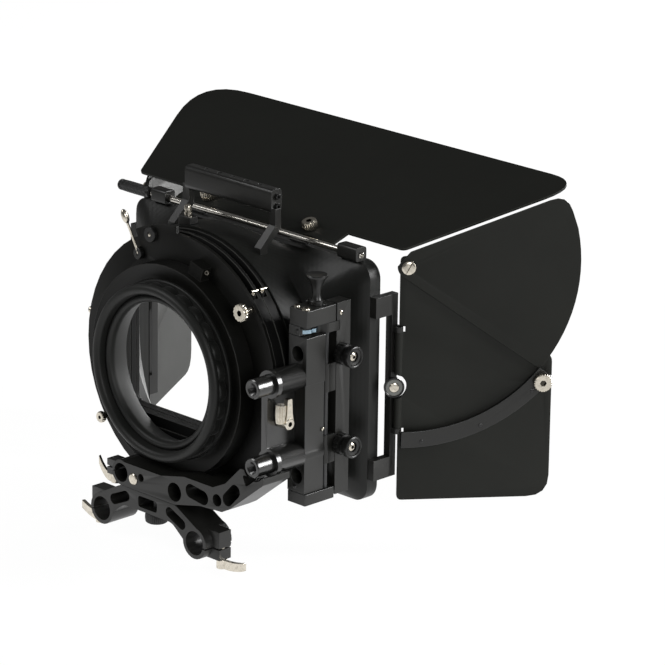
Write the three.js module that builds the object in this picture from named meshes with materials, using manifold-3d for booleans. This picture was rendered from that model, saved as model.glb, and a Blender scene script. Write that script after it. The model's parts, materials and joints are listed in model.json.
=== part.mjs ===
// Matte box for support rods: lens ring, two filter stages, flared hood, top flag and side flags.
// Millimetres, +Z up, +Y towards the subject, +X to the right seen from behind.
// The origin lies midway between the studio rods' axes, at the rear face of the lower clamp.
import * as THREE from 'three';
import { mergeVertices } from 'three/addons/utils/BufferGeometryUtils.js';
import Module from 'manifold-3d';

const wasm = await Module();
wasm.setup();

// Rod standards
const axisHeight = 120;
const studioSpacing = 104;
const studioBore = 19;
const lightDrop = 85;
const lightSpacing = 60;
const lightBore = 15;

// Fits
const gap = 0.3;
const runningFit = 0.25;
const overrun = 3;
const weldDistance = 1e-4;

// Faces on each kind of round piece
const ringSides = 48;
const boreSides = 24;
const knobSides = 20;
const pinSides = 12;
const cornerSteps = 4;

// Lower clamp on the studio rods
const clampDepth = 27;
const clampWall = 3;
const clampPlateHeight = 15;
const clampShoulder = 31;
const clampWaist = 27;
const clampElbow = 12;
const clampWindowHalf = 10.5;
const clampWindowHeight = 9;
const clampCorner = 2.5;
const armSlotRadius = 4.2;
const armSlotStartX = 24.5;
const armSlotStartDrop = 7.4;
const armSlotEndX = 38;
const armSlotEndDrop = 13.4;
const earReach = 7;
const earDepth = 12;
const earRise = 11.5;
const earDrop = 11;
const slitWidth = 1.4;

// Levers of the rod clamps
const leverHubRadius = 4.2;
const leverHubHeight = 7.5;
const leverStemRadius = 2.2;
const leverLength = 25;
const leverBladeHeight = 6.5;
const leverBladeThickness = 3;
const leverRise = 3;
const studioLeverTurnShares = { right: 0, left: -0.15 };
const rodLeverTurnShare = 0.35;
const rodLeverLength = 14.5;
const rodLeverRise = 12;

// Knob under the clamp
const clampKnobRadius = 9;
const clampKnobHeight = 8.5;
const clampKnobY = 9.5;
const clampKnobStemRadius = 2.8;
const clampKnobStemInBridge = 8;

// Bridge on the light rods and its curved arm
const bridgeDepth = 27;
const bridgeRearDepth = 17.5;
const collarClearance = 2.4;
const bridgeWall = 2.5;
const bridgeRise = 9.2;
const bridgeCorner = 2;
const armShoulderX = 40.6;
const armShoulderDrop = 70;
const armBendX = 72;
const armRiseX = 85.5;
const armRiseDrop = 63.5;
const armKneeX = 82;
const armKneeDrop = 87;
const armKneeEndX = 91;
const armKneeEndDrop = 82;
const armUnderX = 58;
const armUnderDrop = 88.5;
const armTopReach = 14;
const armTopDrop = 47.5;
const armEndReach = 10.5;
const armEndDrop = 54.5;
const armSaddleHalf = 11;
const armCorner = 4;
const armHoleX = 76.7;
const armHoleDrop = 79;
const armHoleRadius = 4.8;
const armWindowRadius = 5.6;
const armWindowStartX = 48;
const armWindowStartDrop = 79.4;
const armWindowEndX = 61.5;
const armWindowEndDrop = 81.2;
const armSlantRadius = 5.2;
const armSlantStartX = 88;
const armSlantStartDrop = 75.5;
const armSlantEndX = 96;
const armSlantEndDrop = 67;
const armNotchReach = 8;
const armNotchDrop = 60.5;
const armNotchInner = 12;
const armNotchOuter = 3.5;
const pushPinX = -15.9;
const pushPinDrop = 86.7;
const pushPinRadius = 4.4;
const pushPinLength = 9;
const pushPinProud = 1.5;
const pushPinTravel = 3;
const pinWellX = -7.4;
const pinWellRadius = 3.2;
const pinWellDepth = 4;
const rodEarReach = 9;
const rodEarDepth = 11;
const rodEarY = 8.5;
const rodEarHeight = 12;

// Posts and their carrier
const postInset = 9.5;
const postRadius = 7.5;
const postUpperRise = 18;
const postLowerDrop = 43;
const postRearProud = 2;
const postSocketRadius = 4.2;
const postSocketDepth = 9;
const postInColumn = 10;
const carrierRear = 15;
const carrierFront = 44;
const bossWall = 2.2;
const bossRimWall = 3;
const bossRimDepth = 4;
const carrierWebThickness = 6;
const carrierWebInset = 7.5;
const carrierLeverY = 28;
const carrierLeverDrop = 13.6;
const carrierLeverWidth = 11;
const carrierLeverHubRadius = 4.6;
const carrierLeverReach = 19.5;
const carrierLeverArm = 5;
const carrierPadDepth = 6.5;
const carrierPadLength = 14;
const slideTravel = 20;

// Hinge column
const columnClearance = 1;
const columnWidth = 19;
const columnRear = 44.3;
const columnFront = 64;
const columnTop = 48.7;
const columnBottom = 73;
const columnRecess = 1;
const columnRecessTop = 12;
const columnBossRadius = 9.5;
const spareHoleRadius = 6;
const spareHoleDepth = 12;
const spareHoleSpacing = 17.2;
const spacerHeight = 7.2;
const spacerFront = 56.3;
const capTopHeight = 13;
const capBottomHeight = 9;
const capFront = 75;
const capCorner = 1.2;
const hingeInset = 3.2;
const hingeY = 67.6;
const hingePinRadius = 2;
const knuckleRadius = 3.1;
const knuckleHeight = 22;
const knuckleShares = [0.16, 0.62];
const leafThickness = 0.8;
const leafWidth = 4;
const leafBow = 2.2;
const plungerY = 63.2;
const plungerPinRadius = 2;
const plungerBaseRadius = 5.4;
const plungerBaseHeight = 4;
const plungerNeckRadius = 3.2;
const plungerNeckHeight = 11;
const plungerTopRadius = 8.3;
const plungerHeight = 23;
const plungerLip = 1.6;

// Rail that carries the box
const railInset = 7;
const railRear = 75.3;
const railFront = 89.5;
const railTop = 70;
const railBottom = 80;
const railHoleRadius = 1.6;
const railHoleDrop = 8;
const railReliefGap = 0.45;
const railKnobY = 79.7;
const railKnobRises = [30.5, -40];
const railKnobRadius = 8.5;
const railKnobBase = 6;
const railKnobNeckRadius = 6;
const railKnobNeck = 3.5;
const railKnobDisc = 6;
const railKnobStemRadius = 3;
const railKnobStem = 8;
const bracketRear = 64.6;
const bracketFront = 77;
const bracketHalfHeight = 45;

// Lens ring, collar and rear plate
const lipRear = 4;
const lipRadius = 69;
const lipDepth = 6;
const throatRadius = 53.8;
const throatY = 13;
const scallopRadius = 68.6;
const scallopDepth = 3;
const scallopCount = 26;
const scallopStepsPerLobe = 4;
const scallopFront = 18;
const ringFront = 31;
const scallopInner = 63;
const ringSleeveInner = 58;
const collarRear = 18;
const collarRadius = 82.5;
const collarInnerRadius = 74;
const collarChamfer = 3;
const collarBoreRadius = 70;
const collarLugAngleShare = 0.1;
const collarLugReach = 10;
const collarLugWidth = 14;
const collarLugDepth = 9;
const plateRear = 33;
const plateThickness = 3;
const plateRadius = 104;
const plateBoreRadius = 64;
const plateTabReach = 5.5;
const plateTabStartShare = -0.15;
const plateTabEndShare = -0.012;
const clampLeverX = -44;
const clampLeverRise = 80;
const clampLeverReach = 30;
const clampLeverStemRadius = 1.2;
const clampLeverBallRadius = 2.9;
const clampLeverBallLength = 12;
const clampLeverHubRadius = 4.5;
const clampLeverHubHeight = 3;
const clampLeverLean = -0.33;
const thumbscrewX = 78;
const thumbscrewRise = 62.8;
const thumbscrewRadius = 7;
const thumbscrewHead = 4.5;
const thumbscrewStemRadius = 2.4;
const thumbscrewStem = 8;

// Filter stages and trays
const stageRadius = 103.5;
const stageSlotDepth = 5.7;
const stageWall = 3;
const trayHalfWidth = 76;
const trayHalfHeight = 56;
const trayBorder = 8;
const windowCorner = 7;
const trayTabHalfWidth = 19;
const trayTabHeight = 15;
const trayCorner = 3;
const trayTravel = 125;

// Hood
const hoodCollarFront = 78;
const hoodFlareFront = 104;
const hoodFront = 117;
const hoodRadius = 105;
const hoodHalfWidth = 129;
const hoodHalfHeight = 94;
const hoodCorner = 13;
const hoodWall = 3;
const hoodRimStep = 2;
const hoodEdgeStepsWide = 14;
const hoodEdgeStepsTall = 10;
const flareShares = [[0.42, 0.26], [0.78, 0.68]];

// Tray latch on the hood's collar
const latchX = -18.5;
const latchWidth = 13;
const latchDepth = 8;
const latchHeight = 5;
const latchPostRadius = 3;
const latchPostHeight = 9;
const latchPostSink = 3;

// Accessory bar on top
const barHalfLength = 47.5;
const barRear = 82;
const barDepth = 11;
const barTop = 139;
const barHeight = 18.5;
const barCorner = 4;
const barHoleRadiusSmall = 1.6;
const barHoleRadiusLarge = 2.4;
const barHoleShares = [-0.62, -0.31, 0, 0.31, 0.62];
const barHoleDepth = 8;
const legWidth = 7;
const legFootDepth = 7;
const legFootRear = 68;
const legFootHeight = 5;
const legTopDepth = 6;
const legKneeDrop = 12;

// Flag rod and its clamps
const rodRise = 98.6;
const rodInset = 10;
const rodRadius = 2.5;
const rodRightEnd = 119;
const handleStart = 112;
const handleEnd = 148;
const handleRadius = 4.6;
const rodClampSpans = { left: [-107, -91], right: [98, 118] };
const rodClampDepth = 11;
const rodClampTop = 105;

// Top flag
const topFlagTilt = THREE.MathUtils.degToRad(18);
const topFlagStart = 3.1;
const topFlagTongueClearance = 4;
const topFlagShoulder = 18.5;
const topFlagEnd = 151.3;
const topFlagRootHalf = 145;
const topFlagTipHalf = 210.5;
const topFlagThickness = 1.8;
const topFlagRootCorner = 7;
const topFlagTipCorners = { left: 36, right: 21 };
const clipCentres = [-58, 54];
const clipHalfWidth = 9;
const clipRingRadius = 4.3;
const clipThickness = 3;
const clipEnd = 18;
const clipScrewAt = 11.5;
const clipScrewRadius = 6;
const clipScrewHead = 6.8;
const clipStemRadius = 1.8;

// Side flag brackets
const bracketBarWidth = 6.2;
const bracketBarDepth = 6.3;
const bracketArmReach = 12.2;
const flagHingeReach = 3.5;
const flagHingeAhead = 2.2;
const bracketBarTop = 69.3;
const bracketBarBottom = 74.7;
const bracketArmHeight = 16;
const bracketArmLength = 11;
const flagEarHeight = 4;
const flagKnuckleRadius = 3;
const flagKnuckleTop = 39.8;
const flagKnuckleBottom = 35.7;
const flagKnuckleGapTop = 5.8;
const flagKnuckleGapBottom = 11.2;
const flagPinRadius = 1.4;
const flagPinLength = 3.2;
const frictionShift = -3.3;
const frictionRise = -2.7;
const frictionRadius = 8;
const frictionThickness = 3;
const frictionStemRadius = 2.2;
const frictionStem = 4.5;
const frictionBossRadius = 5;
const frictionBossDepth = 3.5;

// Side flags and their wings
const flagOpenRight = THREE.MathUtils.degToRad(52);
const flagOpenLeft = THREE.MathUtils.degToRad(-60);
const flagWidth = 116.5;
const flagBottom = 93.2;
const flagOuterTop = 17.8;
const flagCrown = 98.7;
const flagThickness = 2;
const flagBottomCorner = 17;
const flagTopCorner = 8;
const flagHingeCorner = 4;
const flagRelief = 1.6;
const flagNotch = 1.8;
const wingPivotU = 6;
const wingPivotRise = 90.7;
const wingRadius = 130;
const wingThickness = 1.5;
const wingDrops = { left: THREE.MathUtils.degToRad(12), right: 0 };
const wingTopAngle = THREE.MathUtils.degToRad(24.6);
const wingLowAngle = THREE.MathUtils.degToRad(-39);
const wingHubRadius = 8;
const wingTipCorner = 14;
const wingShoulderRadius = 12;
const wingShoulderLean = THREE.MathUtils.degToRad(32);
const wingShoulderTurn = THREE.MathUtils.degToRad(60);
const wingSteps = 14;
const guideInner = 128.5;
const guideFootInner = 133;
const guideOuter = 141;
const guideHeight = 4.2;
const guideStart = THREE.MathUtils.degToRad(-91.5);
const guideEnd = THREE.MathUtils.degToRad(-38.5);
const guideSteps = 14;
const pivotHeadRadius = 5.3;
const pivotHeadHeight = 2.4;
const pivotStemRadius = 2;
const lockRadius = 7.2;
const lockHeight = 6.5;
const lockAngle = THREE.MathUtils.degToRad(-41.5);
const lockStemRadius = 1.8;

// Derived places
const windowHalfWidth = trayHalfWidth - trayBorder;
const windowHalfHeight = trayHalfHeight - trayBorder;
const columnLeft = hoodRadius + columnClearance;
const columnRight = columnLeft + columnWidth;
const postX = columnLeft + postInset;
const plungerX = postX;
const hingeX = columnRight - hingeInset;
const railLeft = columnLeft + railInset;
const armEndX = postX + armEndReach;
const bracketBarRight = hoodHalfWidth + gap + bracketBarWidth;
const rodY = hoodFront - rodInset;
const topFlagInnerHalf = -rodClampSpans.left[1] - topFlagTongueClearance;
const bracketBarFront = hoodFront + bracketArmReach;
const bracketBarRear = bracketBarFront - bracketBarDepth;
const flagHingeX = bracketBarRight + flagHingeReach;
const flagHingeY = bracketBarFront - flagHingeAhead;
const studioHalf = studioSpacing / 2;
const lightHalf = lightSpacing / 2;
const bridgeBottom = -(lightDrop + lightBore / 2 + bridgeWall);
const clampTop = bridgeBottom - gap;
const clampBottom = clampTop - clampPlateHeight;
const bossRadius = postRadius + runningFit + bossWall;
const saddleRadius = bossRadius + bossRimWall - bossWall + gap;
const spacerTop = columnTop + gap + spacerHeight;
const capTop = spacerTop + gap + capTopHeight;
const stageDepth = stageSlotDepth + stageWall;
const stageRears = [0, 1].map((i) => plateRear + plateThickness + gap + i * (stageDepth + gap));
const hoodRear = stageRears[1] + stageDepth + gap;
const flagFace = flagThickness / 2;
const wingFace = flagFace + gap + wingThickness;

// Finishes
const finish = (color, roughness, metalness) =>
  new THREE.MeshStandardMaterial({ color, roughness, metalness });
const anodised = finish(0x1d1e1f, 0.5, 0.6);
const paintedPlate = finish(0x2a2c2a, 0.75, 0.2);
const moulded = finish(0x202121, 0.65, 0);
const rubber = finish(0x161616, 0.8, 0);
const steel = finish(0xc8c6bf, 0.3, 1);

// Closed solids: shared vertices are merged, flat slivers dropped and the faces turned outwards.
function sealed(geometry) {
  const bare = geometry.clone();
  bare.deleteAttribute('normal');
  bare.deleteAttribute('uv');
  const merged = mergeVertices(bare, weldDistance);
  const position = merged.attributes.position;
  const source = merged.index.array;
  const faces = [];
  let volume = 0;
  const a = new THREE.Vector3();
  const b = new THREE.Vector3();
  const c = new THREE.Vector3();
  for (let i = 0; i < source.length; i += 3) {
    const [p, q, r] = [source[i], source[i + 1], source[i + 2]];
    if (p === q || q === r || r === p) continue;
    faces.push([p, q, r]);
    a.fromBufferAttribute(position, p);
    b.fromBufferAttribute(position, q);
    c.fromBufferAttribute(position, r);
    volume += a.dot(b.cross(c));
  }
  const outward = volume < 0 ? faces.map(([p, q, r]) => [p, r, q]) : faces;
  merged.setIndex(outward.flat());
  return merged;
}

function toSolid(geometry) {
  const closed = sealed(geometry);
  const vertProperties = new Float32Array(closed.attributes.position.array);
  const triVerts = new Uint32Array(closed.index.array);
  return new wasm.Manifold(new wasm.Mesh({ numProp: 3, vertProperties, triVerts }));
}

function toGeometry(solid) {
  const mesh = solid.getMesh();
  const geometry = new THREE.BufferGeometry();
  geometry.setAttribute('position', new THREE.BufferAttribute(mesh.vertProperties, 3));
  geometry.setIndex(new THREE.BufferAttribute(mesh.triVerts, 1));
  return geometry;
}

function cut(base, ...tools) {
  return toGeometry(tools.reduce((solid, tool) => solid.subtract(toSolid(tool)), toSolid(base)));
}

function join(base, ...others) {
  return toGeometry(others.reduce((solid, other) => solid.add(toSolid(other)), toSolid(base)));
}

// Flat outlines: each point is [across, up, corner radius].
function outline(points, target = new THREE.Shape()) {
  const edgeShare = 0.48;
  const count = points.length;
  points.forEach((point, i) => {
    const corner = new THREE.Vector2(point[0], point[1]);
    const [before, after] = [points[(i + count - 1) % count], points[(i + 1) % count]];
    const back = new THREE.Vector2(before[0], before[1]).sub(corner);
    const ahead = new THREE.Vector2(after[0], after[1]).sub(corner);
    const halfAngle = Math.acos(back.dot(ahead) / (back.length() * ahead.length())) / 2;
    const wanted = (point[2] ?? 0) / Math.tan(halfAngle);
    const trim = Math.min(wanted, back.length() * edgeShare, ahead.length() * edgeShare);
    const start = corner.clone().addScaledVector(back.normalize(), trim);
    const end = corner.clone().addScaledVector(ahead.normalize(), trim);
    if (i === 0) target.moveTo(start.x, start.y);
    else target.lineTo(start.x, start.y);
    if (trim > 0) target.quadraticCurveTo(corner.x, corner.y, end.x, end.y);
  });
  target.closePath();
  return target;
}

function rectangle(left, right, low, high, radius = 0) {
  return [[left, low, radius], [right, low, radius], [right, high, radius], [left, high, radius]];
}

function roundHole(x, y, radius) {
  return new THREE.Path().absarc(x, y, radius, 0, 2 * Math.PI, true);
}

function slotHole(startX, startY, endX, endY, radius) {
  const turn = Math.atan2(endY - startY, endX - startX);
  const path = new THREE.Path();
  path.absarc(startX, startY, radius, turn - Math.PI / 2, turn + Math.PI / 2, true);
  path.absarc(endX, endY, radius, turn + Math.PI / 2, turn - Math.PI / 2, true);
  path.closePath();
  return path;
}

function withHoles(shape, ...holes) {
  shape.holes.push(...holes);
  return shape;
}

function extruded(shape, length, steps = cornerSteps) {
  const { shape: rim, holes } = shape.extractPoints(steps);
  const facing = new THREE.Shape(THREE.ShapeUtils.isClockWise(rim) ? rim.reverse() : rim);
  facing.holes = holes.map((hole) => new THREE.Path(hole));
  return new THREE.ExtrudeGeometry(facing, { depth: length, bevelEnabled: false });
}

// A plate drawn as seen from behind (across X, up Z), between two places along Y.
function plateAlongY(shape, from, to, steps) {
  return extruded(shape, to - from, steps).rotateX(Math.PI / 2).translate(0, to, 0);
}

// A plate drawn as seen from the right (across Y, up Z), between two places along X.
function plateAlongX(shape, from, to, steps) {
  const basis = new THREE.Matrix4().makeBasis(
    new THREE.Vector3(0, 1, 0), new THREE.Vector3(0, 0, 1), new THREE.Vector3(1, 0, 0));
  return extruded(shape, to - from, steps).applyMatrix4(basis).translate(from, 0, 0);
}

// A plate drawn as seen from above (across X, up Y), between two heights.
function plateAlongZ(shape, from, to, steps) {
  return extruded(shape, to - from, steps).translate(0, 0, from);
}

function block(left, right, rear, front, low, high) {
  return new THREE.BoxGeometry(right - left, front - rear, high - low)
    .translate((left + right) / 2, (rear + front) / 2, (low + high) / 2);
}

// Turned solids: each profile point is [radius, place along the axis].
function turned(profile, sides) {
  return new THREE.LatheGeometry(profile.map(([r, along]) => new THREE.Vector2(r, along)), sides);
}

function turnedAlongX(profile, sides) {
  return turned(profile, sides).rotateZ(-Math.PI / 2);
}

function turnedAlongZ(profile, sides) {
  return turned(profile, sides).rotateX(Math.PI / 2);
}

function cylinderAlongX(radius, from, to, y, z, sides = boreSides) {
  return turnedAlongX([[0, from], [radius, from], [radius, to], [0, to]], sides).translate(0, y, z);
}

function cylinderAlongY(radius, from, to, x, z, sides = boreSides) {
  return turned([[0, from], [radius, from], [radius, to], [0, to]], sides).translate(x, 0, z);
}

function cylinderAlongZ(radius, from, to, x, y, sides = boreSides) {
  return turnedAlongZ([[0, from], [radius, from], [radius, to], [0, to]], sides).translate(x, y, 0);
}

// A closed shell through loops of points, each loop joined to the next and the last to the first.
function shell(loops) {
  const count = loops[0].length;
  const geometry = new THREE.BufferGeometry().setFromPoints(loops.flat());
  const index = [];
  loops.forEach((loop, k) => {
    const next = (k + 1) % loops.length;
    for (let i = 0; i < count; i += 1) {
      const j = (i + 1) % count;
      index.push(k * count + i, k * count + j, next * count + j);
      index.push(k * count + i, next * count + j, next * count + i);
    }
  });
  geometry.setIndex(index);
  return geometry;
}

const model = new THREE.Group();
const optic = new THREE.Group();
optic.position.z = axisHeight;
model.add(optic);

function place(parent, name, geometry, material) {
  const mesh = new THREE.Mesh(sealed(geometry), material);
  mesh.name = name;
  parent.add(mesh);
  return mesh;
}

// Lower clamp: a plate with a curved arm to each studio rod, where a split ear closes the bore.
function studioClamp() {
  const barrel = studioBore / 2 + clampWall;
  const rodZ = -axisHeight;
  const waist = [[-clampWaist, clampBottom, clampCorner], [clampWaist, clampBottom, clampCorner],
    [clampShoulder, clampTop], [-clampShoulder, clampTop]];
  const solids = [];
  const cuts = [];
  [-1, 1].forEach((side) => {
    const rodX = side * studioHalf;
    solids.push(plateAlongY(outline([
      [side * armSlotRadius, clampTop], [side * clampShoulder, clampTop, clampElbow],
      [rodX + side * barrel * Math.SQRT1_2, rodZ + barrel * Math.SQRT1_2], [rodX, rodZ],
      [rodX - side * barrel, rodZ, clampCorner], [side * clampWaist, clampBottom, clampElbow],
      [side * armSlotRadius, clampBottom]]), 0, clampDepth));
    solids.push(cylinderAlongY(barrel, 0, clampDepth, rodX, rodZ));
    const earY = (clampDepth - earDepth) / 2;
    const earX = [rodX, rodX + side * (barrel + earReach)].sort((a, b) => a - b);
    solids.push(block(...earX, earY, earY + earDepth, rodZ - earDrop, rodZ + earRise));
    cuts.push(cylinderAlongY(studioBore / 2, -overrun, clampDepth + overrun, rodX, rodZ));
    const slitX = [rodX, rodX + side * (barrel + earReach + overrun)].sort((a, b) => a - b);
    cuts.push(block(...slitX, -overrun, clampDepth + overrun, rodZ - slitWidth - slitWidth,
      rodZ - slitWidth));
    const stemX = rodX + side * (barrel + earReach / 2);
    cuts.push(cylinderAlongZ(leverStemRadius + runningFit, rodZ - earDrop - overrun,
      rodZ + earRise / 2, stemX, clampDepth / 2, pinSides));
    const slot = new THREE.Shape(slotHole(side * armSlotStartX, clampTop - armSlotStartDrop,
      side * armSlotEndX, clampTop - armSlotEndDrop, armSlotRadius).getPoints(cornerSteps));
    cuts.push(plateAlongY(slot, -overrun, clampDepth + overrun));
  });
  const windowTop = (clampTop + clampBottom + clampWindowHeight) / 2;
  cuts.push(plateAlongY(outline(rectangle(-clampWindowHalf, clampWindowHalf,
    windowTop - clampWindowHeight, windowTop, clampCorner)), -overrun, clampDepth + overrun));
  cuts.push(cylinderAlongZ(clampKnobStemRadius + runningFit, clampBottom - overrun,
    clampTop + overrun, 0, clampKnobY, pinSides));
  return cut(join(plateAlongY(outline(waist), 0, clampDepth), ...solids), ...cuts);
}

// Clamp lever: a hub on an upright stem and a flat blade that leads away and curves.
function clampLever(length, rise, stem) {
  const bend = (length + leverHubRadius) / 2;
  const blade = new THREE.Shape();
  blade.moveTo(0, -leverHubHeight);
  blade.lineTo(leverHubRadius, -leverHubHeight);
  blade.quadraticCurveTo(bend, -leverHubHeight, length, rise - leverBladeHeight);
  blade.lineTo(length, rise);
  blade.quadraticCurveTo(bend, -gap, leverHubRadius, -gap);
  blade.lineTo(0, -gap);
  blade.closePath();
  const plate = plateAlongY(blade, -leverBladeThickness / 2, leverBladeThickness / 2);
  const hub = cylinderAlongZ(leverHubRadius, -leverHubHeight, -gap, 0, 0, knobSides);
  return join(hub, plate, cylinderAlongZ(leverStemRadius, -leverHubHeight / 2, stem, 0, 0, pinSides));
}

function clampKnob() {
  const top = clampBottom - gap;
  const low = top - clampKnobHeight;
  const rim = clampKnobRadius - clampCorner / 2;
  return turnedAlongZ([[0, low], [rim, low], [clampKnobRadius, low + clampCorner],
    [clampKnobRadius, top - clampCorner / 2], [rim, top], [clampKnobStemRadius, top],
    [clampKnobStemRadius, bridgeBottom + clampKnobStemInBridge - gap],
    [0, bridgeBottom + clampKnobStemInBridge - gap]], knobSides).translate(0, clampKnobY, 0);
}

// Bridge: two rod bores in a bar, and an arm that sweeps under the lens ring up to the posts.
function rodBridge() {
  const end = lightBore / 2 + bridgeWall;
  const barTopZ = -lightDrop + bridgeRise;
  const body = outline([
    [-lightHalf, bridgeBottom], [lightHalf, bridgeBottom, armCorner],
    [armUnderX, -armUnderDrop, armCorner], [armKneeX, -armKneeDrop, armCorner],
    [armKneeEndX, -armKneeEndDrop, armCorner], [armEndX, -armEndDrop, bridgeCorner],
    [armEndX, -armTopDrop - bridgeCorner], [postX - armSaddleHalf, -armTopDrop],
    [postX - armTopReach, -armTopDrop, bridgeCorner], [armRiseX, -armRiseDrop, armCorner],
    [armBendX, -armShoulderDrop, armCorner], [armShoulderX, -armShoulderDrop, armCorner],
    [lightHalf / 2, barTopZ, armCorner], [-lightHalf, barTopZ]]);
  const holes = [
    slotHole(armWindowStartX, -armWindowStartDrop, armWindowEndX, -armWindowEndDrop, armWindowRadius),
    slotHole(armSlantStartX, -armSlantStartDrop, armSlantEndX, -armSlantEndDrop, armSlantRadius),
    roundHole(armHoleX, -armHoleDrop, armHoleRadius),
    roundHole(lightHalf, -lightDrop, lightBore / 2)];
  const earLeft = -lightHalf - end - rodEarReach;
  const earLow = -lightDrop - rodEarHeight / 2;
  const stemX = -lightHalf - end - rodEarReach / 2;
  const wellZ = -pushPinDrop + pinWellRadius;
  const solid = join(
    plateAlongY(withHoles(body, ...holes), 0, bridgeDepth, 2 * cornerSteps),
    cylinderAlongY(end, 0, bridgeDepth, -lightHalf, -lightDrop),
    block(earLeft, -lightHalf - end / 2, rodEarY - rodEarDepth / 2, rodEarY + rodEarDepth / 2,
      earLow, earLow + rodEarHeight));
  const notchTop = -armTopDrop - armCorner;
  const notch = outline([[postX - armNotchInner, notchTop, bridgeCorner],
    [postX - armNotchReach, -armNotchDrop, bridgeCorner],
    [postX + armNotchOuter, notchTop, bridgeCorner]]);
  return cut(solid,
    cylinderAlongY(lightBore / 2, -overrun, bridgeDepth + overrun, -lightHalf, -lightDrop),
    block(earLeft - overrun, -lightHalf, -overrun, bridgeDepth + overrun,
      -lightDrop - slitWidth / 2, -lightDrop + slitWidth / 2),
    cylinderAlongY(collarRadius + clampWall + collarClearance, bridgeRearDepth, bridgeDepth + overrun, 0, 0,
      ringSides),
    cylinderAlongY(saddleRadius, -overrun, bridgeDepth + overrun, postX, -postLowerDrop),
    plateAlongY(notch, -overrun, bridgeDepth + overrun),
    cylinderAlongY(pushPinRadius + runningFit, -overrun, pushPinLength + pushPinTravel, pushPinX,
      -pushPinDrop, knobSides),
    cylinderAlongY(pinWellRadius, -overrun, pinWellDepth, pinWellX, wellZ, pinSides),
    cylinderAlongZ(clampKnobStemRadius + runningFit, bridgeBottom - overrun,
      bridgeBottom + clampKnobStemInBridge, 0, clampKnobY, pinSides),
    cylinderAlongZ(leverStemRadius + runningFit, earLow - overrun, -lightDrop + rodEarHeight / 4,
      stemX, rodEarY, pinSides));
}

// Carrier: a boss round each post, joined by a web.
function postCarrier() {
  const solids = [];
  const bores = [];
  [postUpperRise, -postLowerDrop].forEach((z) => {
    solids.push(cylinderAlongY(bossRadius, carrierRear, carrierFront, postX, z));
    solids.push(cylinderAlongY(bossRadius + bossRimWall - bossWall, carrierRear,
      carrierRear + bossRimDepth, postX, z));
    bores.push(cylinderAlongY(postRadius + runningFit, carrierRear - overrun, carrierFront + overrun,
      postX, z));
  });
  const webLeft = postX - carrierWebInset;
  const web = block(webLeft, webLeft + carrierWebThickness, carrierRear, carrierFront,
    -postLowerDrop, postUpperRise);
  return cut(join(web, ...solids), ...bores);
}

// Carrier lever: hub, upright arm and a thumb pad that faces the rear.
function carrierLever() {
  const top = -carrierLeverDrop + carrierLeverReach;
  const half = carrierLeverArm / 2;
  const armShape = outline([
    [carrierLeverY - half, -carrierLeverDrop], [carrierLeverY + half, -carrierLeverDrop],
    [carrierLeverY + half, top, half], [carrierLeverY - half, top, half]]);
  const padTop = top - carrierLeverArm;
  const pad = outline([
    [carrierLeverY - half - carrierPadDepth, padTop - carrierPadLength, half],
    [carrierLeverY + half, padTop - carrierPadLength],
    [carrierLeverY + half, padTop], [carrierLeverY - half - carrierPadDepth / 2, padTop, half]]);
  const left = postX - carrierWebInset + carrierWebThickness + gap;
  const right = left + carrierLeverWidth;
  return join(
    cylinderAlongX(carrierLeverHubRadius, left, right, carrierLeverY, -carrierLeverDrop, knobSides),
    plateAlongX(armShape, right - carrierLeverArm, right),
    plateAlongX(pad, left, right));
}

function post() {
  const rear = -postRearProud;
  const front = columnRear + postInColumn;
  const socket = rear + postSocketDepth;
  return turned([[0, socket], [postSocketRadius, socket], [postSocketRadius, rear],
    [postRadius - gap, rear], [postRadius, rear + gap], [postRadius, front], [0, front]], boreSides);
}

// Column: a block with a bore for each post, spare holes and a shallow recess on its outer side.
function hingeColumn() {
  const outer = columnRight - columnRecess;
  const postBore = postRadius + runningFit;
  const boreEnd = columnRear + postInColumn + gap;
  const spareEnd = columnRear + spareHoleDepth;
  const cuts = [postUpperRise, -postLowerDrop].map((z) =>
    cylinderAlongY(postBore, columnRear - overrun, boreEnd, postX, z));
  [postUpperRise + spareHoleSpacing, -postLowerDrop - spareHoleSpacing].forEach((z) =>
    cuts.push(cylinderAlongY(spareHoleRadius, columnRear - overrun, spareEnd, postX, z, knobSides)));
  return cut(join(
    block(columnLeft, outer, columnRear, columnFront, -columnBottom, columnTop),
    block(outer - overrun, columnRight, columnRear, columnFront, columnRecessTop, columnTop),
    cylinderAlongY(columnBossRadius, columnRear, columnFront, postX, -postLowerDrop)), ...cuts);
}

function columnCap(low, high, withPlunger) {
  const body = plateAlongZ(outline(rectangle(columnLeft, columnRight, columnRear, capFront,
    capCorner)), low, high);
  const bores = [cylinderAlongZ(hingePinRadius + runningFit, low - overrun, high + overrun, hingeX,
    hingeY, pinSides)];
  if (withPlunger) {
    bores.push(cylinderAlongZ(plungerPinRadius + runningFit, low - overrun, high + overrun, plungerX,
      plungerY, pinSides));
  }
  return cut(body, ...bores);
}

// Leaf spring that bears on the index plate from the open side of the spacer.
function latchLeaf() {
  const rear = columnRear + gap;
  const front = spacerFront + leafWidth;
  const middle = (rear + front) / 2;
  const low = columnTop + spacerHeight / 2;
  const strip = new THREE.Shape();
  strip.moveTo(rear, low);
  strip.quadraticCurveTo(middle, low + leafBow + leafBow, front, low);
  strip.lineTo(front, low - leafThickness);
  strip.quadraticCurveTo(middle, low + leafBow + leafBow - leafThickness, rear, low - leafThickness);
  strip.closePath();
  const outer = columnRight - columnRecess;
  return plateAlongX(strip, outer - leafWidth, outer, cornerSteps + cornerSteps);
}

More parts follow.
